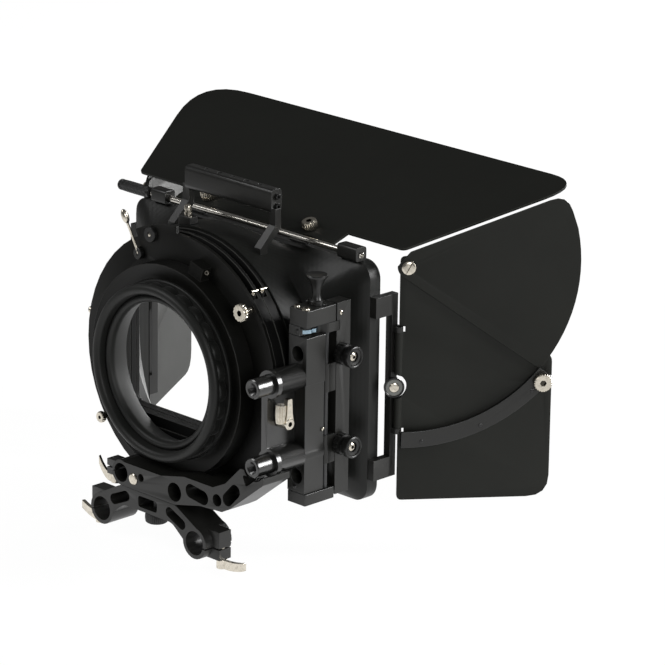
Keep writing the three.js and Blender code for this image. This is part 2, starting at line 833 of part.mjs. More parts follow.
function indexPlate() {
  const reach = plungerPinRadius + runningFit + clampWall - gap;
  const dx = plungerX - hingeX;
  const dy = plungerY - hingeY;
  const length = Math.hypot(dx, dy);
  const across = new THREE.Vector2(-dy / length, dx / length).multiplyScalar(knuckleRadius);
  const low = columnTop + gap;
  const high = spacerTop;
  const web = outline([[hingeX + across.x, hingeY + across.y], [hingeX - across.x, hingeY - across.y],
    [plungerX - across.x, plungerY - across.y], [plungerX + across.x, plungerY + across.y]]);
  const foot = block(hingeX - knuckleRadius, hingeX + knuckleRadius, hingeY, railRear + overrun, low,
    high);
  return cut(join(plateAlongZ(web, low, high),
    cylinderAlongZ(knuckleRadius, low, high, hingeX, hingeY, knobSides),
    cylinderAlongZ(reach, low, high, plungerX, plungerY, knobSides), foot),
  cylinderAlongZ(hingePinRadius + runningFit, low - overrun, high + overrun, hingeX, hingeY, pinSides),
  cylinderAlongZ(plungerPinRadius + runningFit, low - overrun, high + overrun, plungerX, plungerY,
    pinSides));
}

function swingPlunger() {
  const base = capTop + gap;
  const tip = spacerTop + gap;
  return turnedAlongZ([[0, tip], [plungerPinRadius, tip], [plungerPinRadius, base],
    [plungerBaseRadius, base],
    [plungerBaseRadius, base + plungerBaseHeight], [plungerNeckRadius, base + plungerNeckHeight],
    [plungerTopRadius, base + plungerHeight - plungerLip], [plungerTopRadius, base + plungerHeight],
    [0, base + plungerHeight]], knobSides).translate(plungerX, plungerY, 0);
}

// Rail: an upright bar with two knuckles on the hinge pin, relieved where the caps' corners pass.
function hingeRail() {
  const bar = block(railLeft, columnRight, railRear, railFront, -railBottom, railTop);
  const relief = Math.hypot(columnRight - hingeX, capFront - hingeY) + railReliefGap;
  const span = columnTop + columnBottom;
  const knuckles = knuckleShares.flatMap((share) => {
    const low = -columnBottom + span * share;
    return [
      cylinderAlongZ(knuckleRadius, low, low + knuckleHeight, hingeX, hingeY, knobSides),
      block(hingeX - knuckleRadius + gap, hingeX + knuckleRadius - gap, hingeY, railRear + overrun, low,
        low + knuckleHeight)];
  });
  const pinBore = cylinderAlongZ(hingePinRadius + runningFit, -railBottom - overrun,
    railTop + overrun, hingeX, hingeY, pinSides);
  const indexSeat = block(hingeX - knuckleRadius - gap, columnRight + overrun, railRear - overrun,
    railRear + overrun + gap, columnTop, spacerTop + gap);
  const knobHoles = railKnobRises.map((z) => cylinderAlongX(railKnobStemRadius + runningFit,
    columnRight - railKnobStem - gap, columnRight + overrun, railKnobY, z, pinSides));
  return cut(join(bar, ...knuckles), pinBore, indexSeat, ...knobHoles,
    cylinderAlongX(railHoleRadius, railLeft - overrun, columnRight + overrun, railKnobY,
      railTop - railHoleDrop, pinSides),
    cylinderAlongZ(relief, columnTop - gap, railTop + overrun, hingeX, hingeY),
    cylinderAlongZ(relief, -railBottom - overrun, -columnBottom + gap, hingeX, hingeY));
}

function railKnob() {
  const start = columnRight + gap;
  const neck = start + railKnobBase;
  const disc = neck + railKnobNeck;
  const end = disc + railKnobDisc;
  return turnedAlongX([[0, columnRight - railKnobStem], [railKnobStemRadius, columnRight - railKnobStem],
    [railKnobStemRadius, start], [railKnobRadius, start], [railKnobRadius, neck],
    [railKnobNeckRadius, neck], [railKnobNeckRadius, disc], [railKnobRadius - gap, disc],
    [railKnobRadius - gap, end - gap], [railKnobRadius - gap - gap, end], [0, end]], knobSides);
}

function railBracket() {
  const body = block(hoodRadius * Math.SQRT1_2, railLeft - gap, bracketRear, bracketFront,
    -bracketHalfHeight, bracketHalfHeight);
  return cut(body, cylinderAlongY(hoodRadius + gap, bracketRear - overrun, bracketFront + overrun, 0, 0,
    ringSides));
}

// Rubber lens ring: a soft lip, a funnel to the throat, a scalloped band and a sleeve in the collar.
function lensRing() {
  const funnel = throatRadius + (lipRadius - throatRadius) / 2;
  const shoulder = collarRear + collarChamfer;
  const body = turned([
    [throatRadius, throatY], [funnel - lipDepth / 2, lipRear + lipDepth / 2], [funnel, lipRear + gap],
    [lipRadius - lipDepth / 2, lipRear], [lipRadius, lipRear + lipDepth / 2],
    [lipRadius, lipRear + lipDepth], [scallopRadius - scallopDepth, lipRear + lipDepth],
    [scallopRadius - scallopDepth, shoulder], [collarBoreRadius - gap, shoulder],
    [collarBoreRadius - gap, ringFront], [ringSleeveInner, ringFront], [throatRadius, throatY]],
  ringSides);
  const lobes = new THREE.Shape();
  const steps = scallopCount * scallopStepsPerLobe;
  for (let i = 0; i < steps; i += 1) {
    const turn = (i / steps) * 2 * Math.PI;
    const radius = scallopRadius + scallopDepth * (Math.cos(turn * scallopCount) - 1) / 2;
    if (i === 0) lobes.moveTo(radius * Math.cos(turn), radius * Math.sin(turn));
    else lobes.lineTo(radius * Math.cos(turn), radius * Math.sin(turn));
  }
  lobes.closePath();
  lobes.holes.push(roundHole(0, 0, scallopInner));
  return join(body, plateAlongY(lobes, lipRear + lipDepth, scallopFront, ringSides / 2));
}

function lensCollar() {
  const front = plateRear - gap;
  const ring = turned([
    [collarBoreRadius, collarRear + collarChamfer], [collarInnerRadius, collarRear + collarChamfer],
    [collarRadius - gap, collarRear], [collarRadius, collarRear + gap], [collarRadius, front],
    [collarBoreRadius, front], [collarBoreRadius, collarRear + collarChamfer]], ringSides);
  const turn = collarLugAngleShare * Math.PI;
  const lug = block(-collarLugWidth / 2, collarLugWidth / 2, front - collarLugDepth, front,
    collarRadius - collarLugWidth / 2, collarRadius + collarLugReach).rotateY(turn);
  return join(ring, lug);
}

// Rear plate: a disc with the lens bore and a raised tab at its top left.
function rearPlate() {
  const shape = new THREE.Shape();
  shape.absarc(0, 0, plateRadius, 0, 2 * Math.PI, false);
  const disc = plateAlongY(shape, plateRear, plateRear + plateThickness, ringSides / 2);
  const tab = new THREE.Shape();
  const [start, end] = [plateTabStartShare, plateTabEndShare].map((s) => Math.PI / 2 - s * Math.PI);
  tab.absarc(0, 0, plateRadius + plateTabReach, end, start, false);
  tab.absarc(0, 0, plateBoreRadius + plateTabReach, start, end, true);
  tab.closePath();
  const stem = thumbscrewStemRadius + runningFit;
  return cut(join(disc, plateAlongY(tab, plateRear, plateRear + plateThickness, 2 * cornerSteps)),
    cylinderAlongY(plateBoreRadius, plateRear - overrun, plateRear + plateThickness + overrun, 0, 0,
      ringSides),
    cylinderAlongY(stem, plateRear - overrun, plateRear + plateThickness + overrun, thumbscrewX,
      thumbscrewRise, pinSides),
    cylinderAlongY(clampLeverStemRadius + clampLeverStemRadius + runningFit, plateRear - overrun,
      plateRear + plateThickness + overrun, clampLeverX, clampLeverRise, pinSides));
}

// Lens clamp lever: a hub on the rear plate, a thin stem that leans back and a long ball.
function lensClampLever() {
  const hubFront = plateRear - gap;
  const hubRear = hubFront - clampLeverHubHeight;
  const hub = turned([[0, hubRear], [clampLeverHubRadius, hubRear], [clampLeverHubRadius, hubFront],
    [2 * clampLeverStemRadius, hubFront], [2 * clampLeverStemRadius, plateRear + plateThickness],
    [0, plateRear + plateThickness]], knobSides);
  const stemEnd = clampLeverReach - clampLeverBallLength / 2;
  const stem = turnedAlongZ([[0, 0], [clampLeverStemRadius, 0], [clampLeverStemRadius, stemEnd],
    [clampLeverBallRadius, stemEnd + clampLeverBallRadius / 2],
    [clampLeverBallRadius, stemEnd + clampLeverBallLength - clampLeverBallRadius / 2],
    [0, stemEnd + clampLeverBallLength]], pinSides);
  stem.rotateX(-clampLeverLean / 2).rotateY(clampLeverLean);
  stem.translate(0, hubRear + clampLeverHubHeight / 2, 0);
  return join(hub, stem).translate(clampLeverX, 0, clampLeverRise);
}

function plateThumbscrew() {
  const seat = plateRear - gap;
  const headFront = seat - thumbscrewStem;
  const headRear = headFront - thumbscrewHead;
  const end = plateRear + plateThickness;
  return turned([[0, headRear], [thumbscrewRadius - gap, headRear], [thumbscrewRadius, headRear + gap],
    [thumbscrewRadius, headFront], [thumbscrewStemRadius + gap + gap, headFront],
    [thumbscrewStemRadius + gap + gap, seat], [thumbscrewStemRadius, seat], [thumbscrewStemRadius, end],
    [0, end]], knobSides).translate(thumbscrewX, 0, thumbscrewRise);
}

// Filter stage: a round body with a slot for the tray, open at the top, and a windowed front wall.
function filterStage(rear) {
  const front = rear + stageDepth;
  const body = cylinderAlongY(stageRadius, rear, front, 0, 0, ringSides);
  const slotHalf = trayHalfWidth + gap;
  const slotLow = -trayHalfHeight - gap;
  return cut(body,
    block(-slotHalf, slotHalf, rear - overrun, rear + stageSlotDepth, slotLow, stageRadius + overrun),
    plateAlongY(outline(rectangle(-windowHalfWidth, windowHalfWidth, -windowHalfHeight,
      windowHalfHeight, windowCorner)), rear - overrun, front + overrun));
}

function filterTray(rear) {
  const body = outline([
    [-trayHalfWidth, -trayHalfHeight, trayCorner], [trayHalfWidth, -trayHalfHeight, trayCorner],
    [trayHalfWidth, trayHalfHeight, trayCorner], [trayTabHalfWidth, trayHalfHeight, trayCorner],
    [trayTabHalfWidth, trayHalfHeight + trayTabHeight, trayCorner],
    [-trayTabHalfWidth, trayHalfHeight + trayTabHeight, trayCorner],
    [-trayTabHalfWidth, trayHalfHeight, trayCorner], [-trayHalfWidth, trayHalfHeight, trayCorner]]);
  const opening = outline(rectangle(-windowHalfWidth, windowHalfWidth, -windowHalfHeight,
    windowHalfHeight, windowCorner), new THREE.Path());
  return plateAlongY(withHoles(body, opening), rear + gap, rear + stageSlotDepth - gap);
}

// Hood: a round collar that flares to a rounded rectangular rim.
function rimLoop(halfWidth, halfHeight, corner, y) {
  const points = [];
  const quarter = Math.PI / 2;
  const centres = [[1, 1], [-1, 1], [-1, -1], [1, -1]];
  centres.forEach(([sx, sz], k) => {
    const cx = sx * (halfWidth - corner);
    const cz = sz * (halfHeight - corner);
    for (let i = 0; i <= cornerSteps; i += 1) {
      const turn = k * quarter + (i / cornerSteps) * quarter;
      points.push(new THREE.Vector3(cx + corner * Math.cos(turn), y, cz + corner * Math.sin(turn)));
    }
    const [nx, nz] = centres[(k + 1) % centres.length];
    const steps = k % 2 === 0 ? hoodEdgeStepsWide : hoodEdgeStepsTall;
    const from = points[points.length - 1];
    const turnEnd = (k + 1) * quarter;
    const to = new THREE.Vector3(nx * (halfWidth - corner) + corner * Math.cos(turnEnd), y,
      nz * (halfHeight - corner) + corner * Math.sin(turnEnd));
    for (let i = 1; i < steps; i += 1) points.push(from.clone().lerp(to, i / steps));
  });
  return points;
}

function hood() {
  const rimInset = hoodRimStep;
  const sections = (inset) => {
    const rim = rimLoop(hoodHalfWidth - inset, hoodHalfHeight - inset, hoodCorner - inset, 0);
    const flare = rimLoop(hoodHalfWidth - inset - rimInset, hoodHalfHeight - inset - rimInset,
      hoodCorner - inset, 0);
    const round = rim.map((p) => new THREE.Vector3(p.x, 0, p.z).setLength(hoodRadius - inset));
    const at = (loop, y) => loop.map((p) => new THREE.Vector3(p.x, y, p.z));
    const between = (share, blend) => round.map((p, i) => p.clone().lerp(flare[i], blend)
      .setY(hoodCollarFront + (hoodFlareFront - hoodCollarFront) * share));
    return [at(round, hoodRear), at(round, hoodCollarFront),
      ...flareShares.map(([share, blend]) => between(share, blend)), at(flare, hoodFlareFront),
      at(rim, hoodFlareFront + hoodRimStep), at(rim, hoodFront)];
  };
  return shell([...sections(0), ...sections(hoodWall).reverse()]);
}

function latchBracket() {
  const rear = hoodRear + gap;
  const low = hoodRadius;
  const body = block(latchX - latchWidth / 2, latchX + latchWidth / 2, rear, rear + latchDepth,
    low - latchPostSink, low + latchHeight);
  return cut(body,
    cylinderAlongY(hoodRadius + gap, rear - overrun, rear + latchDepth + overrun, 0, 0, ringSides),
    cylinderAlongZ(latchPostRadius + runningFit, low - latchPostSink - overrun,
      low + latchHeight + overrun, latchX, rear + latchDepth / 2, knobSides));
}

// Accessory bar with threaded holes along its top and a raked leg at each end.
function accessoryBar() {
  const low = barTop - barHeight;
  const front = barRear + barDepth;
  const bar = plateAlongX(outline(rectangle(barRear, front, low, barTop, barCorner)), -barHalfLength,
    barHalfLength);
  const holes = barHoleShares.map((share, i) => cylinderAlongZ(
    i % 2 === 0 ? barHoleRadiusSmall : barHoleRadiusLarge, barTop - barHoleDepth, barTop + overrun,
    share * barHalfLength, barRear + barDepth / 2, pinSides));
  const legs = [-1, 1].map((side) => {
    const outer = side * (barHalfLength + legWidth / 2);
    const inner = side * (barHalfLength - legWidth / 2);
    const footZ = Math.sqrt(hoodRadius ** 2 - outer ** 2);
    const leg = outline([[legFootRear, footZ - gap], [legFootRear + legFootDepth, footZ - gap],
      [legFootRear + legFootDepth, footZ + legFootHeight],
      [front - barCorner, low - legKneeDrop], [front - barCorner, low + barCorner],
      [front - barCorner - legTopDepth, low + barCorner],
      [front - barCorner - legTopDepth, low - legKneeDrop + legTopDepth / 2],
      [legFootRear, footZ + legFootHeight]]);
    return plateAlongX(leg, Math.min(inner, outer), Math.max(inner, outer));
  });
  return cut(join(bar, ...legs), ...holes, cylinderAlongY(hoodRadius + gap, legFootRear - overrun,
    hoodFlareFront, 0, 0, ringSides));
}

function flagRod() {
  return turnedAlongX([[0, -handleEnd], [handleRadius - gap, -handleEnd],
    [handleRadius, -handleEnd + gap], [handleRadius, -handleStart], [rodRadius, -handleStart],
    [rodRadius, rodRightEnd], [0, rodRightEnd]], knobSides).translate(0, rodY, rodRise);
}

function rodClamp(xs) {
  const low = hoodHalfHeight + gap;
  const body = plateAlongX(outline(rectangle(rodY - rodClampDepth / 2, rodY + rodClampDepth / 2, low,
    rodClampTop, clampCorner)), ...xs);
  return cut(body, cylinderAlongX(rodRadius + runningFit, xs[0] - overrun, xs[1] + overrun, rodY,
    rodRise, knobSides));
}

// Top flag, in a group turned about the rod: Y runs away from the rod and Z stands off the plate.
const topFlag = new THREE.Group();
topFlag.position.set(0, rodY, rodRise);
topFlag.rotation.x = topFlagTilt;
optic.add(topFlag);

function flagPlate() {
  const shape = outline([
    [-topFlagRootHalf, topFlagShoulder, topFlagRootCorner], [-topFlagInnerHalf, topFlagShoulder],
    [-topFlagInnerHalf, topFlagStart], [topFlagInnerHalf, topFlagStart],
    [topFlagInnerHalf, topFlagShoulder], [topFlagRootHalf, topFlagShoulder, topFlagRootCorner],
    [topFlagTipHalf, topFlagEnd, topFlagTipCorners.right],
    [-topFlagTipHalf, topFlagEnd, topFlagTipCorners.left]]);
  shape.holes.push(...clipCentres.map((x) => roundHole(x, clipScrewAt, clipStemRadius + runningFit)));
  return plateAlongZ(shape, 0, topFlagThickness, cornerSteps + cornerSteps);
}

function flagClip(x) {
  const high = -gap;
  const tongue = block(x - clipHalfWidth, x + clipHalfWidth, 0, clipEnd, high - clipThickness, high);
  const ring = cylinderAlongX(clipRingRadius, x - clipHalfWidth, x + clipHalfWidth, 0, 0, knobSides);
  const above = block(x - clipHalfWidth - overrun, x + clipHalfWidth + overrun,
    -clipRingRadius - overrun, clipRingRadius + overrun, high, clipRingRadius + overrun);
  return cut(join(tongue, cut(ring, above)),
    cylinderAlongX(rodRadius + runningFit, x - clipHalfWidth - overrun, x + clipHalfWidth + overrun, 0,
      0, knobSides),
    cylinderAlongZ(clipStemRadius + runningFit, -clipRingRadius - overrun, overrun, x, clipScrewAt,
      pinSides));
}

function clipScrew(x) {
  const seat = topFlagThickness + gap;
  const tip = -gap - clipThickness;
  return turnedAlongZ([[0, tip], [clipStemRadius, tip], [clipStemRadius, seat], [clipScrewRadius, seat],
    [clipScrewRadius, seat + clipScrewHead - gap], [clipScrewRadius - gap, seat + clipScrewHead],
    [0, seat + clipScrewHead]], knobSides).translate(x, clipScrewAt, 0);
}

// Side brackets: two arms along the rim's side to an upright bar with the hinge's ears and a boss.
function sideBracket(side) {
  const across = (a, b) => [side * a, side * b].sort((p, q) => p - q);
  const ear = flagKnuckleRadius + gap;
  const inner = hoodHalfWidth + gap;
  const bar = block(...across(inner, bracketBarRight), bracketBarRear, bracketBarFront,
    -bracketBarBottom, bracketBarTop);
  const armZ = [[bracketBarTop - bracketArmHeight, bracketBarTop],
    [-bracketBarBottom, -bracketBarBottom + bracketArmHeight]];
  const arms = armZ.map(([low, high]) => block(...across(inner, bracketBarRight),
    hoodFront - bracketArmLength, bracketBarFront, low, high));
  const earZ = [flagKnuckleTop + gap, -flagKnuckleBottom - gap - flagEarHeight];
  const ears = earZ.flatMap((z) => [
    block(...across(bracketBarRight - overrun, flagHingeX), flagHingeY - ear, flagHingeY + ear, z,
      z + flagEarHeight),
    cylinderAlongZ(ear, z, z + flagEarHeight, side * flagHingeX, flagHingeY, knobSides)]);
  const bores = earZ.map((z) => cylinderAlongZ(flagPinRadius + runningFit, z - overrun,
    z + flagEarHeight + overrun, side * flagHingeX, flagHingeY, pinSides));
  const angled = (radius, from, to) => cylinderAlongY(radius, from, to, side * frictionShift,
    frictionRise, knobSides).rotateZ(side * flagOpenRight).translate(side * flagHingeX, flagHingeY, 0);
  return cut(join(bar, ...arms, ...ears, angled(frictionBossRadius, -flagFace, frictionBossDepth)),
    ...bores, angled(frictionStemRadius + runningFit, -flagFace - overrun, frictionStem + gap));
}

function frictionDisc(side) {
  const seat = -flagFace - gap;
  return turned([[0, frictionStem], [frictionStemRadius, frictionStem], [frictionStemRadius, seat],
    [frictionRadius, seat], [frictionRadius, seat - frictionThickness + gap],
    [frictionRadius - gap, seat - frictionThickness], [0, seat - frictionThickness]], boreSides)
    .translate(side * frictionShift, 0, frictionRise).rotateZ(side * flagOpenRight)
    .translate(side * flagHingeX, flagHingeY, 0);
}

// Side flags, in groups turned about their hinge axes: X runs outwards and -Y faces the operator.
function sideFlag(side) {
  const shape = outline([
    [side * gap, -flagBottom, flagHingeCorner],
    [side * flagWidth, -flagBottom, flagBottomCorner],
    [side * flagWidth, flagOuterTop, flagTopCorner],
    [side * (wingPivotU + wingHubRadius), flagCrown, wingHubRadius],
    [side * gap, flagCrown, flagHingeCorner]]);
  const plate = plateAlongY(shape, -flagFace, flagFace);
  const spans = [[flagKnuckleGapTop, flagKnuckleTop], [-flagKnuckleBottom, -flagKnuckleGapBottom]];
  const knuckles = spans.map(([low, high]) => cylinderAlongZ(flagKnuckleRadius, low, high, 0, 0,
    knobSides));
  const pins = [
    cylinderAlongZ(flagPinRadius, flagKnuckleTop - overrun, flagKnuckleTop + flagPinLength, 0, 0,
      pinSides),
    cylinderAlongZ(flagPinRadius, -flagKnuckleBottom - flagPinLength, -flagKnuckleBottom + overrun, 0,
      0, pinSides)];
  const reach = flagKnuckleRadius + gap + flagRelief;
  const clearances = [
    [flagKnuckleTop, flagKnuckleTop + flagEarHeight + gap + gap],
    [-flagKnuckleBottom - flagEarHeight - gap - gap, -flagKnuckleBottom]]
    .map(([low, high]) => block(-reach, reach, -overrun, overrun, low, high));
  clearances.push(cylinderAlongY(frictionRadius + flagNotch, -overrun, overrun, side * frictionShift,
    frictionRise, boreSides));
  const lockX = side * (wingPivotU + (guideFootInner + guideOuter) / 2 * Math.cos(lockAngle));
  const lockZ = wingPivotRise + (guideFootInner + guideOuter) / 2 * Math.sin(lockAngle);
  const holes = [
    cylinderAlongY(pivotStemRadius + runningFit, -overrun, overrun, side * wingPivotU, wingPivotRise,
      pinSides),
    cylinderAlongY(lockStemRadius + runningFit, -overrun, overrun, lockX, lockZ, pinSides)];
  return join(cut(join(plate, ...knuckles), ...clearances, ...holes), ...pins);
}

// A point at an angle and distance from the wing's pivot, as drawn about the pivot or on the flag.
function aboutPivot(side, angle, radius) {
  return [side * radius * Math.cos(angle), radius * Math.sin(angle)];
}

function fromPivot(side, angle, radius) {
  const [x, z] = aboutPivot(side, angle, radius);
  return [side * wingPivotU + x, wingPivotRise + z];
}

function wing(side) {
  const tipTurn = (wingTipCorner + wingTipCorner) / wingRadius;
  const up = Math.PI / 2;
  const points = [
    aboutPivot(side, wingTopAngle + up - wingShoulderLean, wingShoulderRadius),
    [...aboutPivot(side, wingTopAngle, wingRadius), wingTipCorner]];
  for (let i = 0; i <= wingSteps; i += 1) {
    const angle = wingTopAngle - tipTurn + (i / wingSteps) * (wingLowAngle - wingTopAngle + tipTurn);
    points.push(aboutPivot(side, angle, wingRadius));
  }
  for (let i = 0; i <= cornerSteps + cornerSteps; i += 1) {
    const start = wingLowAngle - up;
    const sweep = wingTopAngle + up + wingShoulderTurn - 2 * Math.PI - start;
    points.push(aboutPivot(side, start + sweep * i / (cornerSteps + cornerSteps), wingHubRadius));
  }
  const shape = outline(points);
  shape.holes.push(roundHole(0, 0, pivotStemRadius + runningFit));
  return plateAlongY(shape, -wingFace, -wingFace + wingThickness);
}

// Wing guide: a curved strip with a foot on the flag and a lip over the wing's edge.
function wingGuide(side) {
  const band = (inner, outer) => {
    const shape = new THREE.Shape();
    const points = [];
    for (let i = 0; i <= guideSteps; i += 1) {
      points.push(fromPivot(side, guideStart + (guideEnd - guideStart) * i / guideSteps, outer));
    }
    for (let i = guideSteps; i >= 0; i -= 1) {
      points.push(fromPivot(side, guideStart + (guideEnd - guideStart) * i / guideSteps, inner));
    }
    points.forEach(([x, z], i) => (i === 0 ? shape.moveTo(x, z) : shape.lineTo(x, z)));
    shape.closePath();
    return shape;
  };
  const outerFace = -flagFace - gap - guideHeight;
  const lock = fromPivot(side, lockAngle, (guideFootInner + guideOuter) / 2);
  return cut(join(plateAlongY(band(guideFootInner, guideOuter), outerFace, -flagFace - gap),
    plateAlongY(band(guideInner, guideOuter), outerFace, -wingFace - gap)),
  cylinderAlongY(lockStemRadius + runningFit, outerFace - overrun, overrun, ...lock, pinSides));
}

function wingPivot(side) {
  const seat = -wingFace - gap;
  return turned([[0, seat - pivotHeadHeight], [pivotHeadRadius - gap, seat - pivotHeadHeight],
    [pivotHeadRadius, seat - pivotHeadHeight + gap], [pivotHeadRadius, seat], [pivotStemRadius, seat],
    [pivotStemRadius, flagFace], [0, flagFace]], knobSides).translate(side * wingPivotU, 0,
    wingPivotRise);
}

function wingLock(side) {
  const seat = -flagFace - gap - guideHeight - gap;
  const [x, z] = fromPivot(side, lockAngle, (guideFootInner + guideOuter) / 2);
  return turned([[0, seat - lockHeight], [lockRadius - gap - gap, seat - lockHeight],
    [lockRadius, seat - lockHeight + gap + gap], [lockRadius, seat], [lockStemRadius, seat],
    [lockStemRadius, flagFace], [0, flagFace]], knobSides).translate(x, 0, z);
}

// Support: clamp, bridge, carrier and their levers
place(optic, 'studio_clamp', studioClamp(), anodised);
place(optic, 'rod_bridge', rodBridge(), anodised);
place(optic, 'post_carrier', postCarrier(), anodised);
place(optic, 'clamp_knob', clampKnob(), anodised);
const studioEar = studioHalf + studioBore / 2 + clampWall + earReach / 2;
const studioLever = clampLever(leverLength, leverRise, earDrop + earRise / 2 - gap);
[['left', -1], ['right', 1]].forEach(([word, side]) => {
  const lever = place(optic, `studio_lever_${word}`, studioLever, steel);
  lever.position.set(side * studioEar, clampDepth / 2, -axisHeight - earDrop);
  lever.rotation.z = (side < 0 ? Math.PI : 0) + studioLeverTurnShares[word];
});
const rodLever = place(optic, 'rod_lever',
  clampLever(rodLeverLength, rodLeverRise, rodEarHeight / 2 + rodEarHeight / 4 - gap), steel);
rodLever.position.set(-lightHalf - lightBore / 2 - bridgeWall - rodEarReach / 2, rodEarY,
  -lightDrop - rodEarHeight / 2);
rodLever.rotation.z = Math.PI + rodLeverTurnShare;
place(optic, 'push_pin', cylinderAlongY(pushPinRadius, -pushPinProud, pushPinLength, pushPinX,
  -pushPinDrop, knobSides), steel);
place(optic, 'carrier_lever', carrierLever(), steel);

// Posts and hinge column
place(optic, 'post_upper', post(), anodised).position.set(postX, 0, postUpperRise);
place(optic, 'post_lower', post(), anodised).position.set(postX, 0, -postLowerDrop);
place(optic, 'hinge_column', hingeColumn(), anodised);
place(optic, 'column_spacer', block(columnLeft, hingeX - leafWidth - gap, columnRear, spacerFront,
  columnTop + gap, spacerTop), anodised);
place(optic, 'column_cap_top', columnCap(spacerTop + gap, capTop, true), anodised);
place(optic, 'column_cap_bottom', columnCap(-columnBottom - gap - capBottomHeight,
  -columnBottom - gap, false), anodised);
place(optic, 'hinge_pin', cylinderAlongZ(hingePinRadius, -columnBottom - capBottomHeight,
  capTop - gap, hingeX, hingeY, pinSides), steel);
place(optic, 'latch_leaf', latchLeaf(), steel);
place(optic, 'swing_plunger', swingPlunger(), anodised);

// Box on the rail
place(optic, 'hinge_rail', hingeRail(), anodised);
place(optic, 'index_plate', indexPlate(), steel);
place(optic, 'rail_bracket', railBracket(), anodised);
['upper', 'lower'].forEach((word, i) => {
  place(optic, `rail_knob_${word}`, railKnob(), anodised).position.set(0, railKnobY, railKnobRises[i]);
});
place(optic, 'lens_ring', lensRing(), rubber);
place(optic, 'lens_collar', lensCollar(), anodised);
place(optic, 'rear_plate', rearPlate(), anodised);
place(optic, 'lens_clamp_lever', lensClampLever(), steel);
place(optic, 'plate_thumbscrew', plateThumbscrew(), steel);
['rear', 'front'].forEach((word, i) => {
  place(optic, `filter_stage_${word}`, filterStage(stageRears[i]), anodised);
  place(optic, `filter_tray_${word}`, filterTray(stageRears[i]), anodised);
});
place(optic, 'hood', hood(), moulded);
place(optic, 'latch_bracket', latchBracket(), anodised);
place(optic, 'latch_post', cylinderAlongZ(latchPostRadius, hoodRadius,
  hoodRadius + latchHeight + latchPostHeight, latchX, hoodRear + gap + latchDepth / 2, knobSides),
steel);
place(optic, 'accessory_bar', accessoryBar(), anodised);

// Top flag on its rod
place(optic, 'flag_rod', flagRod(), steel);
Object.entries(rodClampSpans).forEach(([word, xs]) => {
  place(optic, `rod_clamp_${word}`, rodClamp(xs), anodised);
});
place(topFlag, 'top_flag', flagPlate(), paintedPlate);
['left', 'right'].forEach((word, i) => {
  place(topFlag, `flag_clip_${word}`, flagClip(clipCentres[i]), anodised);
  place(topFlag, `clip_screw_${word}`, clipScrew(clipCentres[i]), steel);
});

// Side flags on their brackets
[['left', -1, flagOpenLeft], ['right', 1, flagOpenRight]].forEach(([word, side, turn]) => {
  place(optic, `side_bracket_${word}`, sideBracket(side), anodised);
  place(optic, `friction_disc_${word}`, frictionDisc(side), anodised);
  const swing = new THREE.Group();
  swing.position.set(side * flagHingeX, flagHingeY, 0);
  swing.rotation.z = turn;
  optic.add(swing);
  place(swing, `side_flag_${word}`, sideFlag(side), paintedPlate);
  const folding = place(swing, `flag_wing_${word}`, wing(side), paintedPlate);
  folding.position.set(side * wingPivotU, 0, wingPivotRise);
  folding.rotation.y = side * wingDrops[word];
  place(swing, `wing_guide_${word}`, wingGuide(side), anodised);
  place(swing, `wing_pivot_${word}`, wingPivot(side), steel);
  place(swing, `wing_lock_${word}`, wingLock(side), steel);
});

export default model;
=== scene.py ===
"""A production matte box on two pairs of support rods, dressed for a plain studio picture.

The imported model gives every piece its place. Machined pieces are bevelled copies of its nodes, and
turned, knurled, moulded and rubber pieces are made again here with their finer shapes. All sizes are
in millimetres of the row's frame unless a name says otherwise.
"""

import json
import logging
import math
from dataclasses import dataclass
from enum import Enum
from typing import Iterable, Optional, Sequence, Union

import bmesh
import bpy
from mathutils import Matrix, Vector


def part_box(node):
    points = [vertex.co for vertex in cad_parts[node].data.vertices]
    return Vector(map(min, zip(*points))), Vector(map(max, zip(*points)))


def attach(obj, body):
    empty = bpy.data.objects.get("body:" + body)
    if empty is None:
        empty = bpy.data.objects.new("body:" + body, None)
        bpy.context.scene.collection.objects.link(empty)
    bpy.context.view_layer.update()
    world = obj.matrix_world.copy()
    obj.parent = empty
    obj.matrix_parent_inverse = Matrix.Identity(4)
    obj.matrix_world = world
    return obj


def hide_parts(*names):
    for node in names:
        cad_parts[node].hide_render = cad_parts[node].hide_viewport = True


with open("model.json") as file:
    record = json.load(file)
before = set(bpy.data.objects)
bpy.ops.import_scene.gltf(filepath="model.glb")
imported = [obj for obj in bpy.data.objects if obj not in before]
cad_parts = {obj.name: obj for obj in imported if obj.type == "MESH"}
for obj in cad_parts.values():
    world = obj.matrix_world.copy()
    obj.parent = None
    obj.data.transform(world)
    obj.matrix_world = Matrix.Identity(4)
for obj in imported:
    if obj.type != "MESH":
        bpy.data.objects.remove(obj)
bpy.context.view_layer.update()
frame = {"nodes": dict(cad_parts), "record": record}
BODY_OF = {node: body for body, nodes in frame["record"]["behaviour"]["bodies"].items()
           for node in nodes}

MM = 0.001
AXIS_HEIGHT = 120.0
RIGHTWARD, LEFTWARD = (1, 0, 0), (-1, 0, 0)
FORWARD, REARWARD = (0, 1, 0), (0, -1, 0)
UPWARD = (0, 0, 1)
MERGE_M = 1e-6
LOG = logging.getLogger("matte_box")

Point = Sequence[float]
Ring = list[Point]
Pair = tuple[float, float]
Profile = Sequence[Pair]
Mesh = bpy.types.Mesh
Tree = bpy.types.NodeTree
Socket = bpy.types.NodeSocket


# ---------------------------------------------------------------- colours, nodes and places


def linear(colour: str) -> tuple[float, float, float, float]:
    """Turns an sRGB hex colour into linear light.

    Args:
        colour: Six hex digits after a hash.

    Returns:
        Red, green, blue and an alpha of 1.
    """
    parts = [int(colour[i:i + 2], 16) / 255 for i in (1, 3, 5)]
    light = [c / 12.92 if c <= 0.04045 else ((c + 0.055) / 1.055) ** 2.4 for c in parts]
    return (*light, 1.0)


